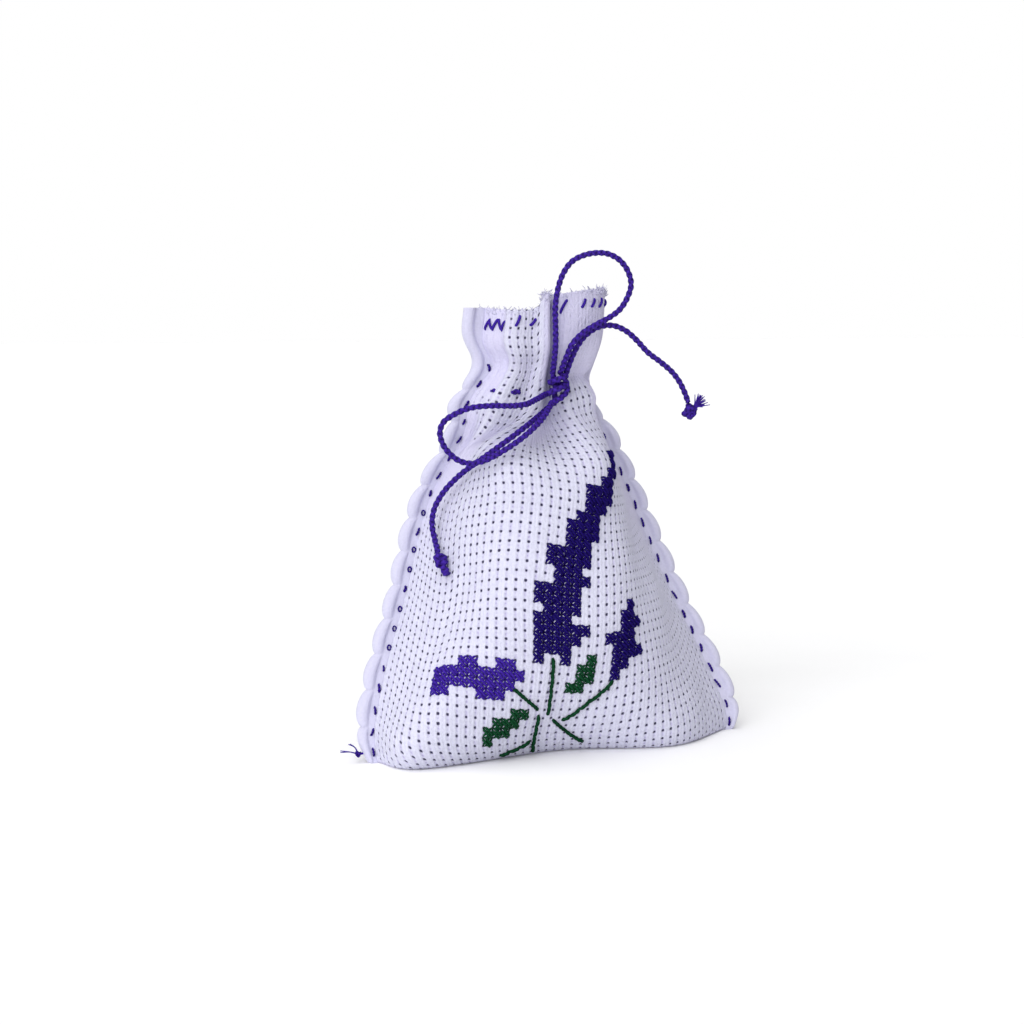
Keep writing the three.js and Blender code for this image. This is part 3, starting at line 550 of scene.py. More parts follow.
class Panel:
    """One half of the folded band: a grid of points and outward directions, in squares of the weave."""

    def __init__(self, side, facets):
        self.side = side
        self.facets = facets
        self.columns = np.linspace(-HALF_SQUARES, HALF_SQUARES, 2 * HALF_SQUARES * facets + 1)
        self.rows = np.linspace(0, ROWS_TO_MOUTH, ROWS_TO_MOUTH * facets + 1)
        heights = np.linspace(0, MOUTH_HEIGHT, PANEL_LEVELS)
        levels = np.stack([panel_row(side, self.columns, z) for z in heights])
        dips = MOUTH_DIP if side == FRONT else BACK_MOUTH_DIP
        dip = np.interp(self.columns, dips[:, 0], dips[:, 1])
        levels[:, :, 2] -= dip * eased(levels[:, :, 2], NECK_HEIGHT, MOUTH_HEIGHT)
        edge = levels[0] if side == FRONT else panel_row(FRONT, self.columns, 0.0)
        under = self.rows_under()
        fold = edge + np.column_stack([np.zeros(len(under)), WEAVE_SQUARE * under, np.zeros(len(under))])
        if side == BACK:
            under = np.linalg.norm(levels[0] - fold, axis=1) / WEAVE_SQUARE
        base = np.stack([fold + (levels[0] - fold) * share for share in np.linspace(0, 1, BASE_LEVELS)])
        base[:, :, 2] = CLOTH_THICKNESS / 2
        levels[:, :, 2] = np.maximum(levels[:, :, 2], CLOTH_THICKNESS / 2)
        points = np.empty((len(self.rows), len(self.columns), 3))
        for j in range(len(self.columns)):
            grid = np.concatenate([base[:-1, j], levels[:, j]])
            reached = lengths_along(grid)
            edge_row = max(under[j], 0.01)
            stops = [0, reached[len(base) - 1], reached[-1]]
            wanted = np.interp(self.rows, [0, edge_row, ROWS_TO_MOUTH], stops)
            for axis in range(3):
                points[:, j, axis] = np.interp(wanted, reached, grid[:, axis])
        points = blur(points, 2 * facets)
        self.points = points
        self.normals = self.outward()
        self.points = points + self.normals * self.folds()[:, :, None]
        self.points[:, :, 2] = np.maximum(self.points[:, :, 2], CLOTH_THICKNESS / 2)
        self.normals = self.outward()

    def rows_under(self):
        """Rows of each column of the front that lie under the base."""
        t = self.columns / HALF_SQUARES
        return ROWS_UNDER * (1 - t**4) * (1 + ROWS_LEAN * t)

    def closed(self):
        """How far the gathered cloth has closed its holes at each point, from 0 to 1; the cloth material
        paints shade by the same share.
        """
        across = np.linalg.norm(np.gradient(self.points, axis=1), axis=2) * self.facets / WEAVE_SQUARE
        up = np.linalg.norm(np.gradient(self.points, axis=0), axis=2) * self.facets / WEAVE_SQUARE
        closed = 1 - eased(np.minimum(across, 1.2 * up), *CLOSED_AT)
        if self.side == FRONT:
            column = self.columns[None, :]
            height = self.points[:, :, 2]
            left = 1 - eased(column, OPEN_PLEAT[0] - 0.5, OPEN_PLEAT[0] + 0.5)
            right = eased(column, OPEN_PLEAT[1] - 0.5, OPEN_PLEAT[1] + 0.5)
            closed = np.maximum(closed, left * eased(height, *LEFT_SHUT_HEIGHTS))
            closed = np.maximum(closed, right * eased(height, *RIGHT_SHUT_HEIGHTS))
        return closed

    def outward(self):
        """Direction out of the cloth at each point."""
        up = np.gradient(self.points, axis=0)
        across = np.gradient(self.points, axis=1)
        normal = -self.side * np.cross(across, up)
        return normal / np.maximum(np.linalg.norm(normal, axis=2, keepdims=True), 1e-9)

    def folds(self):
        """Gathers of the neck and the unevenness of the filling, out of the cloth."""
        column = self.columns[None, :]
        z = self.points[:, :, 2]
        inside = 1 - np.abs(column / HALF_SQUARES) ** 6
        gathers = GATHER_DEPTH * hump(z, NECK_HEIGHT, GATHER_REACH)
        gathers = gathers * np.sin(2 * np.pi * column / GATHER_SQUARES + 0.6 * self.side)
        if self.side == FRONT:
            beside_knot = eased(column, *BULGE_STARTS) * (1 - eased(column, *BULGE_ENDS))
            bulge = BULGE_DEPTH * hump(z, BULGE_HEIGHT, BULGE_REACH)
            dent = DENT_DEPTH * hump(z, DENT_HEIGHT, DENT_REACH)
            gathers = gathers + beside_knot * (bulge - dent)
            rise = eased(z, *PLEAT_RISES)
            pleat = eased(column, *PLEAT_STARTS) * (1 - eased(column, *PLEAT_ENDS))
            crease = CREASE_DEPTH * rise * hump(column, CREASE_COLUMN, CREASE_REACH)
            gathers = gathers + rise * (1 - eased(z, *PLEAT_SETTLES)) * pleat - crease
        large = np.sin(column / 3.1 + z / 7.3 + 1.3 * self.side) * np.sin(z / 6.1 - column / 5.7)
        lumps = LARGE_LUMPS * large + SMALL_LUMPS * np.sin(column / 1.9 - z / 4.7)
        lumps = lumps * np.clip(z / LUMPS_GROW, 0, 1) * np.clip((LUMPS_END - z) / LUMPS_FADE, 0, 1)
        return inside * (gathers + lumps)

    def grid_place(self, column, row):
        """Where a column and a row lie in the grid."""
        i = np.clip(np.asarray(row, float) * self.facets, 0, len(self.rows) - 1.001)
        j = np.clip((np.asarray(column, float) + HALF_SQUARES) * self.facets, 0, len(self.columns) - 1.001)
        return i, j

    def at(self, column, row, height):
        """Point over the cloth at a column and a row."""
        lift = self.direction(column, row) * np.asarray(height)[..., None]
        return self.mix(self.points, *self.grid_place(column, row)) + lift

    def direction(self, column, row):
        """Direction out of the cloth at a column and a row."""
        return self.mix(self.normals, *self.grid_place(column, row))

    @staticmethod
    def mix(grid, i, j):
        """Value of a grid between its points."""
        low_i, low_j = np.floor(i).astype(int), np.floor(j).astype(int)
        u, v = (i - low_i)[..., None], (j - low_j)[..., None]
        return ((1 - u) * (1 - v) * grid[low_i, low_j] + u * (1 - v) * grid[low_i + 1, low_j]
                + (1 - u) * v * grid[low_i, low_j + 1] + u * v * grid[low_i + 1, low_j + 1])


panels = {}


def panel(side):
    """The front or the back half of the band, made once."""
    if side not in panels:
        panels[side] = Panel(side, bpy.context.scene.sachet_cloth.facets)
    return panels[side]


# Meshes


class Shells:
    """Closed shells that are gathered into one piece, with a pattern place for each point."""

    def __init__(self):
        self.points = []
        self.places = []
        self.faces = []
        self.count = 0

    def add(self, points, places, faces):
        self.points.append(np.asarray(points, float))
        self.places.append(np.asarray(places, float))
        self.faces += [[index + self.count for index in face] for face in faces]
        self.count += len(points)

    def piece(self, name, material_name, body, slot, *nodes):
        """One piece that rides on a body and stands for CAD nodes; its slot argument is not used."""
        mesh = bpy.data.meshes.new(name)
        mesh.from_pydata((np.concatenate(self.points) * MM).tolist(), [], self.faces)
        mesh.validate()
        place = mesh.attributes.new("place", "FLOAT_VECTOR", "POINT")
        place.data.foreach_set("vector", np.concatenate(self.places).astype(np.float32).ravel())
        mesh.polygons.foreach_set("use_smooth", [True] * len(mesh.polygons))
        mesh.materials.append(material(material_name))
        mesh.update()
        piece = bpy.data.objects.new(name, mesh)
        bpy.context.scene.collection.objects.link(piece)
        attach(piece, body)
        if nodes:
            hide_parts(*nodes)
        return piece


def tube_faces(rings, sides):
    """Faces of a tube, closed at both ends by the two points that follow its rings."""
    faces = []
    for k in range(rings - 1):
        for s in range(sides):
            t = (s + 1) % sides
            faces.append([k * sides + s, k * sides + t, (k + 1) * sides + t, (k + 1) * sides + s])
    tip = rings * sides
    last = (rings - 1) * sides
    for s in range(sides):
        t = (s + 1) % sides
        faces.append([tip, t, s])
        faces.append([tip + 1, last + s, last + t])
    return faces


def carried_frames(path):
    """Two directions across a path at each point, carried along it without twist."""
    along = np.gradient(path, axis=0)
    along /= np.linalg.norm(along, axis=1, keepdims=True)
    first = np.cross(along[0], (0.3, 0.9, 0.2))
    first /= np.linalg.norm(first)
    sides = [first]
    for direction in along[1:]:
        side = sides[-1] - direction * np.dot(sides[-1], direction)
        sides.append(side / np.linalg.norm(side))
    sides = np.array(sides)
    return along, sides, np.cross(along, sides)


def two_ply(angles, radius):
    """Outline of two plies side by side, as a radius for each angle."""
    ply = PLY_SHARE * radius
    offset = radius - ply
    return offset * np.abs(np.cos(angles)) + np.sqrt(ply**2 - (offset * np.sin(angles)) ** 2)


def add_strand(shells, path, radius, sides, twist=None, across=None, flat=1.0, taper=None, ends=0.5,
               offset=0.0):
    """Round or two-ply strand along a path, closed at both ends.
    across holds the direction that is flattened, at each point; taper scales the radius at each point."""
    path = np.asarray(path, float)
    along, first, second = carried_frames(path)
    if across is not None:
        second = across - along * np.sum(across * along, axis=1, keepdims=True)
        second /= np.linalg.norm(second, axis=1, keepdims=True)
        first = np.cross(second, along)
    reached = lengths_along(path)
    angles = 2 * np.pi * np.arange(sides) / sides
    scale = np.ones(len(path)) if taper is None else np.asarray(taper, float)
    rings = []
    places = []
    for k, point in enumerate(path):
        r = two_ply(angles, radius) if twist else np.full(sides, radius)
        turn = angles + (2 * np.pi * reached[k] / twist if twist else 0.0)
        r = r * scale[k]
        upright = flat * np.outer(r * np.sin(turn), second[k])
        rings.append(point + np.outer(r * np.cos(turn), first[k]) + upright)
        # Lobe is 1 on top of each ply and 0 in the groove between plies; the thread material paints a
        # highlight and shade by it
        lobe = np.abs(np.cos(angles)) if twist else np.ones(sides)
        places.append(np.column_stack([np.full(sides, reached[k] + offset), angles / (2 * np.pi), lobe]))
    start = path[0] - along[0] * radius * ends * scale[0]
    end = path[-1] + along[-1] * radius * ends * scale[-1]
    points = np.vstack([*rings, start, end])
    tips = [[offset, 0.5, 1], [offset + reached[-1], 0.5, 1]]
    shells.add(points, np.vstack([*places, tips]), tube_faces(len(path), sides))


# Materials


class Nodes:
    """Small helper that adds and links shader nodes of one material."""

    def __init__(self, name):
        self.material = bpy.data.materials.new(name)
        self.material.use_nodes = True
        self.tree = self.material.node_tree
        self.shader = self.tree.nodes["Principled BSDF"]

    def node(self, kind, **settings):
        node = self.tree.nodes.new(kind)
        for key, value in settings.items():
            setattr(node, key, value)
        return node

    def feed(self, value, socket):
        if isinstance(value, bpy.types.NodeSocket):
            self.tree.links.new(value, socket)
        else:
            socket.default_value = value

    def math(self, operation, a, b=0.0):
        node = self.node("ShaderNodeMath", operation=operation)
        self.feed(a, node.inputs[0])
        self.feed(b, node.inputs[1])
        return node.outputs[0]

    def times(self, a, b):
        return self.math("MULTIPLY", a, b)

    def plus(self, a, b):
        return self.math("ADD", a, b)

    def minus(self, a, b):
        return self.math("SUBTRACT", a, b)

    def place(self):
        """The place attribute and its three values."""
        node = self.node("ShaderNodeAttribute", attribute_name="place")
        parts = self.node("ShaderNodeSeparateXYZ")
        self.feed(node.outputs["Vector"], parts.inputs[0])
        return node.outputs["Vector"], parts.outputs[0], parts.outputs[1], parts.outputs[2]

    def ramp(self, value, low, high, out_low=0.0, out_high=1.0):
        """Smooth step from one number to another between two values."""
        node = self.node("ShaderNodeMapRange", interpolation_type="SMOOTHSTEP")
        for socket, number in zip(node.inputs[1:5], (low, high, out_low, out_high)):
            socket.default_value = number
        self.feed(value, node.inputs[0])
        return node.outputs[0]

    def noise(self, vector, scale, detail=2.0):
        node = self.node("ShaderNodeTexNoise")
        self.feed(vector, node.inputs["Vector"])
        node.inputs["Scale"].default_value = scale
        node.inputs["Detail"].default_value = detail
        return node.outputs["Fac"]

    def mix(self, share, a, b):
        node = self.node("ShaderNodeMix", data_type="RGBA")
        self.feed(share, node.inputs[0])
        self.feed(a, node.inputs[6])
        self.feed(b, node.inputs[7])
        return node.outputs[2]

    def bump(self, height, strength, distance):
        node = self.node("ShaderNodeBump")
        node.inputs["Strength"].default_value = strength
        node.inputs["Distance"].default_value = distance
        self.feed(height, node.inputs["Height"])
        self.feed(node.outputs[0], self.shader.inputs["Normal"])

    def finish(self, colour, roughness, sheen, sheen_roughness, specular):
        """The material with its colour and its sheen."""
        self.feed(colour, self.shader.inputs["Base Color"])
        self.shader.inputs["Roughness"].default_value = roughness
        self.shader.inputs["Sheen Weight"].default_value = sheen
        self.shader.inputs["Sheen Roughness"].default_value = sheen_roughness
        self.shader.inputs["Specular IOR Level"].default_value = specular
        return self.material


def solid(colour, factor=1.0):
    return (colour[0] * factor, colour[1] * factor, colour[2] * factor, 1.0)


def wave(nodes, value):
    """Humps between 0 and 1, one in each unit of value."""
    return nodes.math("ABSOLUTE", nodes.math("SINE", nodes.times(value, math.pi)))


def off_grid(nodes, value):
    """Distance of a value from the nearest whole number."""
    return nodes.math("ABSOLUTE", nodes.minus(nodes.math("FRACT", nodes.plus(value, 0.5)), 0.5))


def woven_cloth():
    """Block weave: two ribs in each square and a hole at each corner, counted on the place attribute.
    The third place value tells how far the gathered cloth has closed its holes, and so how much painted
    shade it takes."""
    cloth = bpy.context.scene.sachet_cloth
    nodes = Nodes("woven_cloth")
    place, column, row, closed = nodes.place()
    wander = nodes.noise(place, WANDER_SCALE)
    patches = nodes.noise(place, PATCH_SCALE)
    fibres = nodes.noise(place, FIBRE_SCALE, 3.0)
    fuzz = nodes.noise(place, FUZZ_SCALE, 3.0)
    open_share = nodes.ramp(closed, 0.1, 0.9, 1.0, 0.0)
    from_column, from_row = off_grid(nodes, column), off_grid(nodes, row)
    cubes = nodes.plus(nodes.math("POWER", from_column, 3.0), nodes.math("POWER", from_row, 3.0))
    corner = nodes.plus(nodes.math("POWER", cubes, 1 / 3), nodes.times(wander, 0.1))
    corner = nodes.plus(corner, nodes.times(patches, 0.08))
    hole = nodes.times(nodes.ramp(corner, *HOLE_FADE, 1.0, 0.0), open_share)
    # Painted shade between the ribs: grooves at whole columns, fine grooves at half columns and specks
    # between holes
    groove = nodes.ramp(from_column, *GROOVE_FADE, 1.0, 0.0)
    fine = nodes.ramp(off_grid(nodes, nodes.times(column, 2.0)), *FINE_FADE, 1.0, 0.0)
    speck = nodes.times(nodes.ramp(from_column, *SPECK_FADE, 1.0, 0.0), nodes.ramp(from_row, *SPECK_ROWS))
    lines = nodes.plus(nodes.times(groove, GROOVE_SHARE), nodes.times(fine, FINE_SHARE))
    lines = nodes.plus(lines, nodes.times(speck, SPECK_SHARE))
    lines = nodes.times(lines, nodes.ramp(wander, 0.3, 0.7, 0.15, 1.5))
    body = nodes.mix(nodes.ramp(patches, 0.35, 0.65), solid(cloth.colour), solid(cloth.colour, 0.95))
    body = nodes.mix(nodes.ramp(fibres, 0.3, 0.7, 0.0, 0.4), body, solid(cloth.colour, 0.86))
    body = nodes.mix(nodes.ramp(fuzz, 0.42, 0.68, 0.0, 0.55), body, solid(cloth.colour, 0.8))
    # Painted shade: the closed share mixes the cloth towards the painted shade colour
    body = nodes.mix(nodes.times(closed, 0.75), body, solid(cloth.painted_shade_colour))
    # Painted groove shade, weaker where the cloth is closed
    shown = nodes.times(lines, nodes.ramp(closed, 0.0, 1.0, 1.0, 0.2))
    body = nodes.mix(shown, body, solid(cloth.painted_groove_shade))
    rough = nodes.plus(nodes.times(fibres, 1.2), nodes.times(fuzz, -2.0))
    height = nodes.minus(nodes.minus(rough, nodes.times(lines, 1.2)), nodes.times(hole, 2.0))
    nodes.bump(height, *CLOTH_BUMP)
    return nodes.finish(nodes.mix(hole, body, solid(cloth.hole_colour)), 0.95, 0.1, 0.6, 0.1)


def puffy_edge():
    """Soft white worked edge."""
    colour = bpy.context.scene.sachet_cloth.edge_colour
    nodes = Nodes("puffy_edge")
    fibres = nodes.noise(nodes.place()[0], 2.2, 4.0)
    nodes.bump(fibres, *EDGE_BUMP)
    body = nodes.mix(nodes.ramp(fibres, 0.3, 0.7), solid(colour), solid(colour, 0.94))
    return nodes.finish(body, 0.9, 0.1, 0.5, 0.1)


def stranded(name, colour, pitch, ply_count, specular=0.03):
    """Twisted thread: strands wind round the place attribute's length and turn, with painted shade between
    the strands and the plies and a painted highlight on top of each ply.
    """
    nodes = Nodes(name)
    place, along, turn, lobe = nodes.place()
    strands = wave(nodes, nodes.plus(nodes.math("DIVIDE", along, pitch), nodes.times(turn, ply_count)))
    fibres = nodes.noise(place, 3.5, 3.0)
    # Painted shade between the wound strands, lighter along them
    lit = nodes.mix(nodes.ramp(strands, 0.1, 0.9), solid(colour, 0.4), solid(colour, 1.2))
    lit = nodes.mix(nodes.ramp(fibres, 0.5, 0.75, 0.0, 0.4), lit, solid(colour, 2.0))
    # Painted highlight on top of each ply
    lit = nodes.mix(nodes.ramp(lobe, 0.7, 1.0, 0.0, 0.35), lit, solid(colour, 2.4))
    # Painted shade in the groove between the plies
    lit = nodes.mix(nodes.ramp(lobe, 0.0, 0.5, 0.55, 0.0), lit, solid(colour, 0.2))
    nodes.bump(nodes.plus(strands, nodes.times(fibres, 0.5)), *THREAD_BUMP)
    return nodes.finish(lit, 0.55, 0.0, 0.4, specular)


def dried_buds():
    """Heap of small dull buds, with painted shade between them."""
    nodes = Nodes("dried_lavender")
    place = nodes.node("ShaderNodeTexCoord").outputs["Object"]
    cells = nodes.node("ShaderNodeTexVoronoi")
    nodes.feed(place, cells.inputs["Vector"])
    cells.inputs["Scale"].default_value = BUDS_A_METRE
    buds = cells.outputs["Distance"]
    shades = nodes.noise(place, BUDS_A_METRE / 2)
    colour = nodes.mix(nodes.ramp(shades, 0.35, 0.65), solid(BUD_COLOUR), solid(STALK_COLOUR))
    # Painted shade: each bud darkens towards its edge, between the buds
    colour = nodes.mix(nodes.ramp(buds, 0.2, 0.7, 0.0, 0.7), colour, solid(BUD_COLOUR, 0.3))
    nodes.bump(nodes.minus(1.0, buds), *BUD_BUMP)
    return nodes.finish(colour, 0.95, 0.0, 0.5, 0.1)


def plain_floor():
    """White floor with a faint grain."""
    nodes = Nodes("plain_floor")
    colour = bpy.context.scene.sachet_stage.floor_colour
    grain = nodes.noise(nodes.node("ShaderNodeTexCoord").outputs["Object"], 40.0)
    body = nodes.mix(nodes.ramp(grain, 0.2, 0.8), solid(colour), solid(colour, 0.99))
    return nodes.finish(body, 0.6, 0.0, 0.5, 0.0)


materials = {}


def material(name):
    """A material by its name, made once."""
    if name not in materials:
        thread = bpy.context.scene.sachet_thread
        cord = bpy.context.scene.sachet_cord
        makers = {
            "woven_cloth": woven_cloth,
            "puffy_edge": puffy_edge,
            "violet_thread": lambda: stranded("violet_thread", thread.violet, 0.9, 2),
            "dark_violet_thread": lambda: stranded("dark_violet_thread", thread.dark_violet, 0.9, 2),
            "green_thread": lambda: stranded("green_thread", thread.green, 0.9, 2),
            "violet_cord": lambda: stranded("violet_cord", cord.colour, 0.55, 2, 0.08),
            "dried_lavender": dried_buds,
            "plain_floor": plain_floor,
        }
        materials[name] = makers[name]()
    return materials[name]


# Cord


def cord_piece(name, route, body):
    """One loop or tail of the bow."""
    cord = bpy.context.scene.sachet_cord
    shells = Shells()
    path = even_route(route, CORD_STEP)
    add_strand(shells, path, cord.diameter / 2 / MM, CORD_SIDES, cord.twist / MM)
    piece = shells.piece(name + "_cord", "violet_cord", body, "violet_cord", name)


def overhand(centre, radius, upright, tall=1.6):
    """Closed line of an overhand knot about a centre."""
    t = np.linspace(0, 2 * np.pi, 73)[:-1]
    x = np.sin(t) + 2 * np.sin(2 * t)
    y = np.cos(t) - 2 * np.cos(2 * t)
    line = np.column_stack([x, y, -tall * np.sin(3 * t)]) / 3
    line = np.vstack([line, line[:1]])
    up = Vector(upright).normalized().to_track_quat("Z", "Y").to_matrix()
    return np.asarray(centre) + radius * line @ np.array(up).T


def end_knot(name, centre, upright, body):
    """Knot at one end of the cord."""
    cord = bpy.context.scene.sachet_cord
    shells = Shells()
    radius = cord.diameter / 2 / MM
    line = overhand(centre, END_KNOT_RADIUS - 0.8 * radius, upright, END_KNOT_HEIGHT)
    add_strand(shells, spaced(line, CORD_STEP), 1.1 * radius, 10, cord.twist / MM)
    return shells.piece(name + "_cord", "violet_cord", body, "violet_cord", name)


class SACHET_OT_cords(bpy.types.Operator):
    """Loops and tails of the bow with their end knots, tassel and stub"""
    bl_idname = "sachet.cords"
    bl_label = "Loops and tails"

    def execute(self, context):
        cord = context.scene.sachet_cord
        radius = cord.diameter / 2 / MM
        draw = random.Random(11)
        right_knot = end_knot("right_end_knot", RIGHT_END_KNOT, (0.4, -0.2, 0.9), "bow_right_tail")
        left_knot = end_knot("left_end_knot", LEFT_END_KNOT, (0.1, -0.6, -0.8), "bow_left_tail")
        tassel = Shells()
        start = np.array(RIGHT_END_KNOT)
        reach = np.array(RIGHT_TASSEL_END) - start
        for k in range(TASSEL_THREADS):
            spread = np.array([draw.uniform(-1, 1) for axis in range(3)]) * TASSEL_SPREAD
            tip = start + reach * draw.uniform(*TASSEL_REACH) + spread
            middle = start + reach * 0.55 + spread * 0.25
            path = even_route([start + reach * 0.25, middle, tip], 0.3, 6)
            taper = np.linspace(1, TASSEL_TAPER, len(path))
            add_strand(tassel, path, TASSEL_RADIUS, 5, taper=taper, offset=draw.uniform(0, 5))
        tassel = tassel.piece("right_tassel_strands", "violet_cord", "bow_right_tail", "violet_cord",
                              "right_tassel")
        stub = Shells()
        path = spaced(np.array([LEFT_END_KNOT, LEFT_STUB_END], float), CORD_STEP)
        taper = np.linspace(1, STUB_FLARE, len(path))
        add_strand(stub, path, radius, CORD_SIDES, cord.twist / MM, taper=taper, ends=0.15)
        stub = stub.piece("left_stub_cord", "violet_cord", "bow_left_tail", "violet_cord", "left_stub")
        cord_piece("upper_loop", UPPER_LOOP_ROUTE, "bow_upper_loop")
        cord_piece("left_loop", LEFT_LOOP_ROUTE, "bow_left_loop")
        cord_piece("right_tail", RIGHT_TAIL_ROUTE, "bow_right_tail")
        cord_piece("left_tail", LEFT_TAIL_ROUTE, "bow_left_tail")
        return {"FINISHED"}


class SACHET_OT_drawstring(bpy.types.Operator):
    """Drawstring through the neck and the knot of the bow"""
    bl_idname = "sachet.drawstring"
    bl_label = "Drawstring and knot"

    def execute(self, context):
        cord = context.scene.sachet_cord
        radius = cord.diameter / 2 / MM
        off = CLOTH_THICKNESS / 2 + DRAWSTRING_CLEARANCE + radius
        stations = []
        for side, column, place in DRAWSTRING:
            points = panel_row(side, [column - 0.5, column, column + 0.5], DRAWSTRING_HEIGHT)
            normal = -side * np.cross(points[2] - points[0], (0, 0, 1))
            stations.append(points[1] + place * off * normal / np.linalg.norm(normal))
        shells = Shells()
        add_strand(shells, even_route(stations, 0.25), radius, 12, cord.twist / MM)
        shells.piece("drawstring_cord", "violet_cord", "bag", "violet_cord", "neck_drawstring")
        knot = Shells()
        for route in KNOT_ROUTES:
            add_strand(knot, even_route(route, CORD_STEP), radius, CORD_SIDES, cord.twist / MM)
        knot.piece("bow_knot_cord", "violet_cord", "bag", "violet_cord", "bow_knot")
        return {"FINISHED"}


# Cloth


def weave_relief(columns, rows, closed):
    """Height of the weave over the cloth: two ribs in each square and a hole at each corner, less where it
    is closed."""
    cloth = bpy.context.scene.sachet_cloth
    column, row = np.meshgrid(columns, rows)
    blocks = 0.85 + 0.15 * np.abs(np.sin(np.pi * row)) ** 0.5
    ribs = np.abs(np.sin(2 * np.pi * column)) ** 0.6 * blocks
    from_corner = (column - np.round(column)) ** 2 + (row - np.round(row)) ** 2
    hole = np.exp(-from_corner / 0.02)
    lost = RIBS_LOST[0] + (RIBS_LOST[1] - RIBS_LOST[0]) * eased(column, *RIBS_LOST_COLUMNS)
    return (cloth.relief * ribs * (1 - lost * closed) - cloth.hole_depth * hole * (1 - closed)) / MM


def cloth_piece(name, side, node):
    """One half of the band with its weave, closed round its thickness."""
    half = panel(side)
    rows, columns = len(half.rows), len(half.columns)
    closed = half.closed()
    relief = weave_relief(half.columns, half.rows, closed)
    outer = half.points + half.normals * (CLOTH_THICKNESS / 2 + relief)[:, :, None]
    outer[:, :, 2] = np.maximum(outer[:, :, 2], 0.0)
    step = half.facets
    inner = (half.points - half.normals * CLOTH_THICKNESS / 2)[::step, ::step]
    inner_rows, inner_columns = inner.shape[:2]
    first = rows * columns
    shells = Shells()
    column, row = np.meshgrid(half.columns, half.rows)
    places = np.column_stack([column.ravel(), row.ravel(), closed.ravel()])
    inner_places = places.reshape(rows, columns, 3)[::step, ::step].reshape(-1, 3)

    def out(i, j):
        return i * columns + j

    def back(i, j):
        return first + i * inner_columns + j

    quads = [[out(i, j), out(i, j + 1), out(i + 1, j + 1), out(i + 1, j)]
             for i in range(rows - 1) for j in range(columns - 1)]
    quads += [[back(i, j), back(i + 1, j), back(i + 1, j + 1), back(i, j + 1)]
              for i in range(inner_rows - 1) for j in range(inner_columns - 1)]
    for j in range(inner_columns - 1):
        run = range(j * step, (j + 1) * step + 1)
        quads.append([*(out(0, k) for k in reversed(run)), back(0, j), back(0, j + 1)])
        quads.append([*(out(rows - 1, k) for k in run), back(inner_rows - 1, j + 1),
                      back(inner_rows - 1, j)])
    for i in range(inner_rows - 1):
        run = range(i * step, (i + 1) * step + 1)
        quads.append([*(out(k, 0) for k in run), back(i + 1, 0), back(i, 0)])
        quads.append([*(out(k, columns - 1) for k in reversed(run)), back(i, inner_columns - 1),
                      back(i + 1, inner_columns - 1)])
    if side == BACK:
        quads = [list(reversed(face)) for face in quads]
    points = np.vstack([outer.reshape(-1, 3), inner.reshape(-1, 3)])
    shells.add(points, np.vstack([places, inner_places]), quads)
    piece = shells.piece(name, "woven_cloth", "bag", "cloth", node)


class SACHET_OT_cloth(bpy.types.Operator):
    """Front and back of the bag in block weave"""
    bl_idname = "sachet.cloth"
    bl_label = "Woven cloth"

    def execute(self, context):
        cloth_piece("front_cloth", FRONT, "front_panel")
        cloth_piece("back_cloth", BACK, "back_panel")
        return {"FINISHED"}


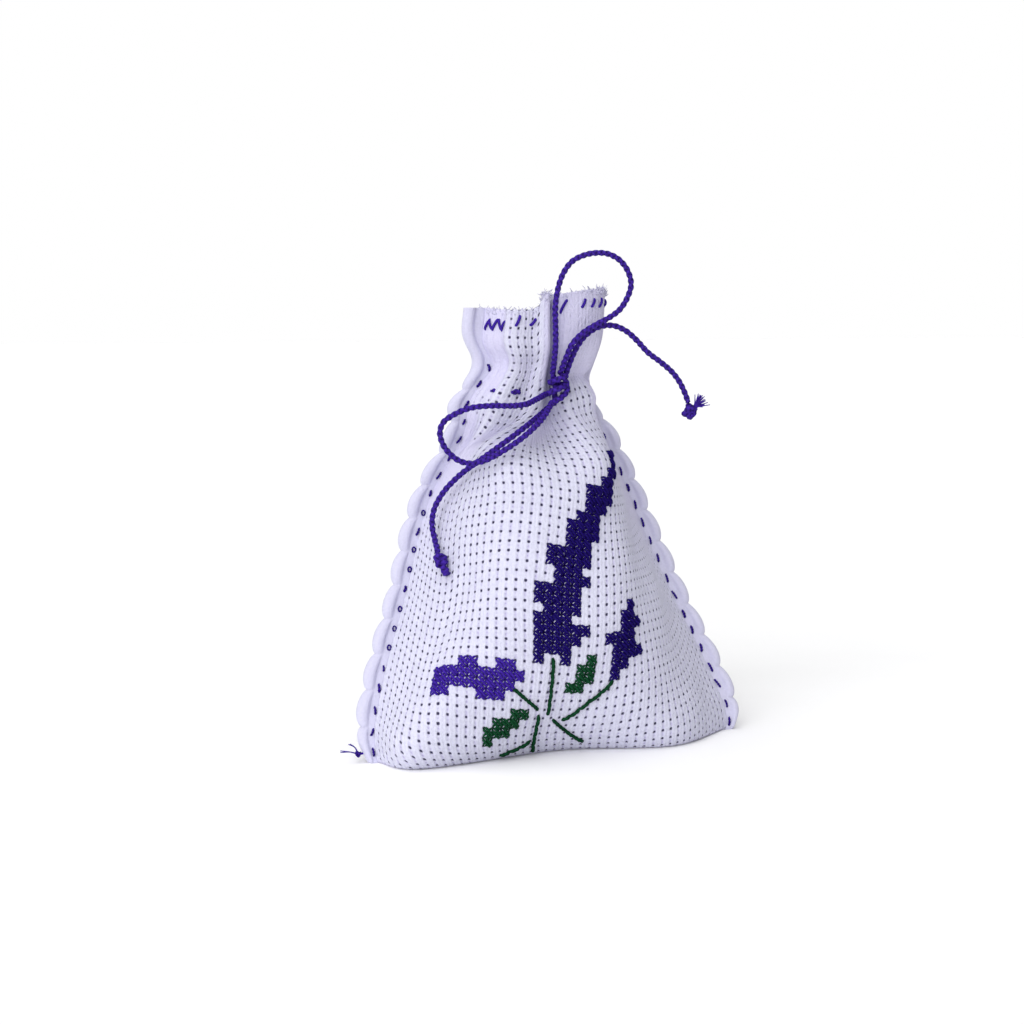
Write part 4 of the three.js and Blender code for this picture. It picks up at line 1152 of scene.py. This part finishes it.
def edging_piece(name, side, hand):
    """Puffy scalloped edge of one layer of the band."""
    dip = MOUTH_DIP[0, 1] if hand == LEFT else MOUTH_DIP[-1, 1]
    heights = np.linspace(0.0, MOUTH_HEIGHT - dip, EDGING_ROWS)
    scallops = round(MOUTH_HEIGHT / SCALLOP_PITCH)
    shares = 1 - np.linspace(1, 0, EDGING_COLUMNS) ** EDGING_CROWDING
    top = []
    bottom = []
    places = []
    for z in heights:
        swell = abs(math.sin(math.pi * scallops * z / MOUTH_HEIGHT))
        if hand == LEFT:
            swell += (SMOOTH_SWELL - swell) * SMOOTH_SHARE * float(eased(z, *SMOOTH_HEIGHTS))
        seam = seam_point(hand, z)
        width = SEAM_SLOT + EDGING_WIDTH + EDGING_TUCK - SCALLOP_DEPTH * (1 - swell**0.6)
        width *= CORNER_WIDTH + (1 - CORNER_WIDTH) * float(eased(z, 0.0, CORNER_HEIGHT))
        reach = width * shares - EDGING_TUCK
        turn = FOLD_BACK * float(eased(z, *FOLD_BACK_HEIGHTS)) if hand == RIGHT else 0.0
        x = seam[0] + hand * reach * math.cos(turn)
        y = seam[1] + reach * math.sin(turn) + side * LAYER_GAP / 2 * (1 - eased(shares, *RIM_SHARES))
        lobe = np.sqrt(np.maximum(1 - ((shares - LOBE_MIDDLE) / (1 - LOBE_MIDDLE)) ** 2, 0.0))
        band = CLOTH_THICKNESS * np.where(shares < LOBE_MIDDLE, 1.0, lobe)
        lift = side * np.maximum(band, (CLOTH_THICKNESS + PUFF * swell**0.5) * lobe)
        top.append(np.column_stack([x - hand * lift * math.sin(turn), y + lift * math.cos(turn),
                                    np.full(len(shares), z)]))
        bottom.append(np.column_stack([x, y, np.full(len(shares), z)]))
        places.append(np.column_stack([np.full(len(shares), z), width * shares, np.zeros(len(shares))]))
    count = len(shares)
    rows = len(heights)
    points = np.vstack([*top, *bottom])
    first = rows * count
    faces = []
    for i in range(rows - 1):
        for j in range(count - 1):
            a, b, c, d = i * count + j, i * count + j + 1, (i + 1) * count + j + 1, (i + 1) * count + j
            faces.append([a, b, c, d])
            faces.append([first + a, first + d, first + c, first + b])
        faces.append([i * count, (i + 1) * count, first + (i + 1) * count, first + i * count])
        last = count - 1
        faces.append([i * count + last, first + i * count + last, first + (i + 1) * count + last,
                      (i + 1) * count + last])
    end = (rows - 1) * count
    faces.append([*range(count - 1, -1, -1), *range(first, first + count)])
    faces.append([*range(end, end + count), *range(first + end + count - 1, first + end - 1, -1)])
    if side * hand > 0:
        faces = [list(reversed(face)) for face in faces]
    shells = Shells()
    shells.add(points, np.vstack([*places, *places]), faces)
    shells.piece(name + "_scallops", "puffy_edge", "bag", "edging", name)


class SACHET_OT_edging(bpy.types.Operator):
    """Scalloped edges of the band"""
    bl_idname = "sachet.edging"
    bl_label = "Scalloped edges"

    def execute(self, context):
        edging_piece("front_left_edging", FRONT, LEFT)
        edging_piece("front_right_edging", FRONT, RIGHT)
        edging_piece("back_left_edging", BACK, LEFT)
        edging_piece("back_right_edging", BACK, RIGHT)
        return {"FINISHED"}


class SACHET_OT_fringe(bpy.types.Operator):
    """Frayed threads of the raw edge of the mouth"""
    bl_idname = "sachet.fringe"
    bl_label = "Frayed mouth"

    def execute(self, context):
        draw = random.Random(5)
        for name, side in (("front_mouth_fringe", FRONT), ("back_mouth_fringe", BACK)):
            half = panel(side)
            shells = Shells()
            for k in range(FRAYED_THREADS):
                column = draw.uniform(-HALF_SQUARES, HALF_SQUARES)
                low = half.at(column, ROWS_TO_MOUTH - draw.uniform(0.0, 0.7), draw.uniform(-0.3, 0.4))
                short = draw.random() < SHORT_SHARE
                rise = draw.uniform(*(SHORT_RISE if short else LONG_RISE))
                lean = np.array([draw.uniform(-1, 1), draw.uniform(-0.8, 0.8), draw.uniform(0.3, 1.0)])
                bend = np.array([draw.uniform(-0.5, 0.5), draw.uniform(-0.5, 0.5), draw.uniform(-0.2, 0.3)])
                tip = low + lean * rise
                path = smooth_route([low, (low + tip) / 2 + bend * 0.5, tip + bend * 0.3], 3)
                taper = np.linspace(1, 0.6, len(path))
                radius = draw.uniform(*FRAY_RADII)
                add_strand(shells, path, radius, 4, taper=taper, offset=draw.uniform(0, 9))
            shells.piece(name, "puffy_edge", "bag", "edging")
        return {"FINISHED"}


class SACHET_OT_filling(bpy.types.Operator):
    """Dried lavender inside the bag"""
    bl_idname = "sachet.filling"
    bl_label = "Lavender filling"

    def execute(self, context):
        columns = np.linspace(-FILL_HALF_SQUARES, FILL_HALF_SQUARES, FILL_COLUMNS)
        points = []
        for z in np.linspace(FILL_FROM, FILL_TOP, FILL_ROWS):
            ring = np.vstack([body_row(FRONT, columns, z), body_row(BACK, columns[::-1], z)])
            inward = ring.mean(axis=0) - ring
            inward /= np.linalg.norm(inward, axis=1, keepdims=True)
            lumps = FILL_LUMPS * np.sin(1.9 * ring[:, 0] + z) * np.sin(1.3 * z + ring[:, 1])
            points.append(ring + inward * (FILL_INSET + lumps)[:, None])
        middles = [points[0].mean(axis=0), points[-1].mean(axis=0)]
        points = np.vstack([*points, middles])
        shells = Shells()
        shells.add(points, np.zeros_like(points), tube_faces(FILL_ROWS, 2 * FILL_COLUMNS))
        shells.piece("lavender_buds", "dried_lavender", "bag", "dried_lavender", "lavender_filling")
        return {"FINISHED"}


# Threads


def stitch_path(half, start, end, height, count):
    """Thread from one needle hole to the next, over the cloth between them."""
    share = np.linspace(0, 1, count)
    column = start[0] + (end[0] - start[0]) * share
    row = start[1] + (end[1] - start[1]) * share
    lift = CLOTH_THICKNESS / 2 - NEEDLE_DEPTH + (height + NEEDLE_DEPTH) * np.sin(np.pi * share) ** 0.3
    return half.at(column, row, lift), half.direction(column, row)


def add_stitch(shells, half, start, end, radius, height, flat, count, offset):
    """Flattened stitch from one needle hole to the next."""
    path, across = stitch_path(half, start, end, height, count)
    add_strand(shells, path, radius, 7, across=across, flat=flat, offset=offset)


def seam_thread(name, hand):
    """Running stitch up a side seam, on both faces."""
    shells = Shells()
    thread = bpy.context.scene.sachet_thread
    radius = thread.diameter / 2 / MM
    draw = random.Random(20 + hand)
    stitches = int((MOUTH_HEIGHT - STITCH_PITCH) / STITCH_PITCH)
    swing = LAYER_GAP / 2 + CLOTH_THICKNESS + STITCH_CLEARANCE
    for k in range(2 * stitches + 1):
        z = STITCH_PITCH * (k + 1) / 2 + draw.uniform(-STITCH_STRAY, STITCH_STRAY)
        hidden = hand == LEFT and z > SMOOTH_HEIGHTS[1]
        side = FRONT if k % 2 == 0 and not hidden else BACK
        reach = draw.uniform(*STITCH_REACH) + (RIGHT_STITCH_EXTRA if hand == RIGHT else 0.0)
        slant = draw.uniform(-STITCH_SLANT, STITCH_SLANT)
        loose = hand == LEFT and LOOSE_FROM < z < LOOSE_TO and draw.random() < LOOSE_SHARE
        points = []
        for share in (-1, -0.8, -0.4, 0, 0.4, 0.8, 1):
            seam = seam_point(hand, z + share * reach)
            lift = swing * (1 - 0.75 * abs(share) ** 4)
            points.append(seam + (hand * (SEAM_SLOT / 2 + slant * share), side * lift, 0))
        if loose:
            turn = np.linspace(0, 2 * np.pi, 10)[:, None]
            ring = LOOP_RADIUS * np.hstack([hand * np.cos(turn), 0 * turn, 1.4 * np.sin(turn)])
            points = list(seam_point(hand, z) + (hand * SEAM_SLOT / 2, side * swing, 0) + ring)
        path = even_route(points, 0.15, 6)
        add_strand(shells, path, radius * (0.7 if loose else 1), 8, 1.1,
                   taper=np.full(len(path), draw.uniform(0.85, 1.15)), offset=draw.uniform(0, 9))
    shells.piece(name + "_stitches", "violet_thread", "bag", "violet_thread", name)


class SACHET_OT_seams(bpy.types.Operator):
    """Running stitches of the side seams and the knotted end of their thread"""
    bl_idname = "sachet.seams"
    bl_label = "Side seams"

    def execute(self, context):
        seam_thread("left_seam_thread", LEFT)
        seam_thread("right_seam_thread", RIGHT)
        high = np.array(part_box("seam_thread_end")[1]) / MM
        knot = np.array([high[0] + END_SET_IN, seam_point(LEFT, END_HEIGHT)[1], END_HEIGHT])
        shells = Shells()
        inside = seam_point(LEFT, LINK_HEIGHT)
        link = even_route([knot, (knot + inside) / 2 - (0, 0, LINK_SAG), inside], 0.25, 6)
        add_strand(shells, link, END_RADIUS, 7)
        add_strand(shells, spaced(overhand(knot, 0.5, (0, 1, 0.3)), 0.15), END_RADIUS, 7, 0.8)
        draw = random.Random(3)
        for reach in END_REACHES:
            for k in range(3):
                spread = np.array([draw.uniform(-0.5, 0.5) for axis in range(3)])
                tip = knot + np.array(reach) + spread
                middle = knot + np.array(reach) * 0.5 + (0, 0, 0.25)
                path = even_route([knot, middle, tip], 0.25, 6)
                add_strand(shells, path, END_FRAY_RADIUS, 6, taper=np.linspace(1, 0.7, len(path)), offset=k)
        shells.piece("seam_thread_knot", "violet_thread", "bag", "violet_thread", "seam_thread_end")
        return {"FINISHED"}


class SACHET_OT_mouth_stitches(bpy.types.Operator):
    """Stitches that hold the raw edge of the mouth"""
    bl_idname = "sachet.mouth_stitches"
    bl_label = "Mouth stitches"

    def execute(self, context):
        draw = random.Random(8)
        for name, side in (("front_mouth_stitches", FRONT), ("back_mouth_stitches", BACK)):
            half = panel(side)
            shells = Shells()
            for start, end in MOUTH_STITCHES:
                add_stitch(shells, half, start, end, MOUTH_STITCH_RADIUS, MOUTH_STITCH_HEIGHT, 0.75, 9,
                           draw.uniform(0, 9))
            shells.piece(name + "_thread", "violet_thread", "bag", "violet_thread", name)
        return {"FINISHED"}


def chart_piece(name, chart, material_name, slot):
    """Cross stitches of one chart: two crossing threads in each worked square."""
    column, row, lines = chart
    half = panel(FRONT)
    draw = random.Random(len(lines) * 31 + row)
    shells = Shells()
    for line, text in enumerate(lines):
        low = row + len(lines) - 1 - line
        for k, mark in enumerate(text):
            if mark != "X":
                continue
            left = column + k
            for rise, height in ((1, CROSS_UNDER), (-1, CROSS_OVER)):
                for apart in (-STRANDS_APART, STRANDS_APART):
                    strays = [draw.uniform(-0.03, 0.03), draw.uniform(-0.03, 0.03)]
                    shift = np.array([-rise, 1]) * apart + strays
                    middle = np.array([left + 0.5, low + 0.5]) + shift
                    half_leg = np.array([1, rise]) * CROSS_LEG / 2
                    add_stitch(shells, half, middle - half_leg, middle + half_leg, CROSS_RADIUS, height,
                               0.8, 7, draw.uniform(0, 9))
    shells.piece(name + "_stitches", material_name, "bag", slot, name)


class SACHET_OT_embroidery(bpy.types.Operator):
    """Lavender sprig in cross stitch and back stitch"""
    bl_idname = "sachet.embroidery"
    bl_label = "Embroidered sprig"

    def execute(self, context):
        chart_piece("tall_spike", TALL_SPIKE, "dark_violet_thread", "violet_thread")
        chart_piece("left_spike", LEFT_SPIKE, "violet_thread", "violet_thread")
        chart_piece("right_spike", RIGHT_SPIKE, "dark_violet_thread", "violet_thread")
        chart_piece("left_leaf", LEFT_LEAF, "green_thread", "green_thread")
        chart_piece("right_leaf", RIGHT_LEAF, "green_thread", "green_thread")
        shells = Shells()
        half = panel(FRONT)
        for holes in STEMS:
            for start, end in zip(holes, holes[1:]):
                line = stitch_path(half, start, end, STEM_HEIGHT, 25)[0]
                add_strand(shells, line, STEM_RADIUS, 10, STEM_TWIST)
        shells.piece("stem_stitches", "green_thread", "bag", "green_thread", "stems")
        return {"FINISHED"}


class SACHET_OT_stage(bpy.types.Operator):
    """Camera, floor and light"""
    bl_idname = "sachet.stage"
    bl_label = "Stage"

    def execute(self, context):
        scene = context.scene
        stage = scene.sachet_stage
        camera_data = bpy.data.cameras.new("camera")
        camera_data.sensor_width = SENSOR_WIDTH
        camera_data.lens = FOCAL_PIXELS / IMAGE_SIZE * SENSOR_WIDTH
        camera_data.clip_start = CLIP_START
        camera = bpy.data.objects.new("camera", camera_data)
        scene.collection.objects.link(camera)
        camera.location = Vector(CAMERA_PLACE) * MM
        yaw = math.radians(CAMERA_YAW) - math.atan(AXIS_RIGHT_OF_CENTRE / FOCAL_PIXELS)
        pitch = math.atan(HORIZON_ABOVE_CENTRE / FOCAL_PIXELS)
        look = Vector((math.sin(yaw) * math.cos(pitch), math.cos(yaw) * math.cos(pitch), -math.sin(pitch)))
        camera.rotation_euler = look.to_track_quat("-Z", "Y").to_euler()
        scene.camera = camera
        bpy.ops.object.select_all(action="DESELECT")
        bpy.ops.mesh.primitive_plane_add(size=FLOOR_SIZE, location=(0, 0, 0))
        floor = context.object
        floor.name = "floor"
        floor.data.materials.append(material("plain_floor"))
        world = bpy.data.worlds.new("studio")
        world.use_nodes = True
        nodes = world.node_tree.nodes
        links = world.node_tree.links
        surround = nodes["Background"]
        surround.inputs["Color"].default_value = SURROUND_COLOUR
        where = nodes.new("ShaderNodeTexCoord")
        facing = nodes.new("ShaderNodeVectorMath")
        facing.operation = "DOT_PRODUCT"
        facing.inputs[1].default_value = Vector(SURROUND_FROM).normalized()
        links.new(where.outputs["Generated"], facing.inputs[0])
        fall = nodes.new("ShaderNodeMapRange")
        strengths = (-1.0, 1.0, SURROUND_SHARE * stage.surround, stage.surround)
        for socket, number in zip(fall.inputs[1:5], strengths):
            socket.default_value = number
        links.new(facing.outputs["Value"], fall.inputs[0])
        links.new(fall.outputs[0], surround.inputs["Strength"])
        backdrop = nodes.new("ShaderNodeBackground")
        backdrop.inputs["Color"].default_value = BACKDROP_COLOUR
        seen = nodes.new("ShaderNodeLightPath")
        choice = nodes.new("ShaderNodeMixShader")
        links.new(seen.outputs["Is Camera Ray"], choice.inputs[0])
        links.new(surround.outputs[0], choice.inputs[1])
        links.new(backdrop.outputs[0], choice.inputs[2])
        links.new(choice.outputs[0], nodes["World Output"].inputs["Surface"])
        scene.world = world
        for name, strength, spread, place in (("key", stage.key, KEY_SPREAD, KEY_FROM),
                                              ("top", stage.top, TOP_SPREAD, TOP_FROM)):
            light = bpy.data.lights.new(name, "SUN")
            light.energy = strength
            light.angle = math.radians(spread)
            lamp = bpy.data.objects.new(name, light)
            lamp.rotation_euler = (-Vector(place)).to_track_quat("-Z", "Y").to_euler()
            scene.collection.objects.link(lamp)
        scene.view_settings.view_transform = "Standard"
        return {"FINISHED"}


OPERATORS = (
    SACHET_OT_stage, SACHET_OT_cords, SACHET_OT_drawstring, SACHET_OT_cloth, SACHET_OT_edging,
    SACHET_OT_fringe, SACHET_OT_filling, SACHET_OT_seams, SACHET_OT_mouth_stitches, SACHET_OT_embroidery)
GROUPS = {"sachet_cloth": SachetCloth, "sachet_cord": SachetCord, "sachet_thread": SachetThread,
          "sachet_stage": SachetStage}


class SACHET_PT_panel(bpy.types.Panel):
    """Sizes, colours and building steps of the sachet"""
    bl_idname = "SACHET_PT_panel"
    bl_label = "Lavender sachet"
    bl_space_type = "VIEW_3D"
    bl_region_type = "UI"
    bl_category = "Sachet"

    def draw(self, context):
        for name, group in GROUPS.items():
            for key in group.__annotations__:
                self.layout.prop(getattr(context.scene, name), key)
        for operator in OPERATORS:
            self.layout.operator(operator.bl_idname)


CLASSES = (*GROUPS.values(), *OPERATORS, SACHET_PT_panel)


def register():
    for entry in CLASSES:
        bpy.utils.register_class(entry)
    for name, group in GROUPS.items():
        setattr(bpy.types.Scene, name, PointerProperty(type=group))


def unregister():
    for name in GROUPS:
        delattr(bpy.types.Scene, name)
    for entry in reversed(CLASSES):
        bpy.utils.unregister_class(entry)


def main():
    register()
    bpy.ops.sachet.stage()
    bpy.ops.sachet.cords()
    bpy.ops.sachet.drawstring()
    bpy.ops.sachet.cloth()
    bpy.ops.sachet.edging()
    bpy.ops.sachet.fringe()
    bpy.ops.sachet.filling()
    bpy.ops.sachet.seams()
    bpy.ops.sachet.mouth_stitches()
    bpy.ops.sachet.embroidery()


if __name__ == "__main__":
    main()
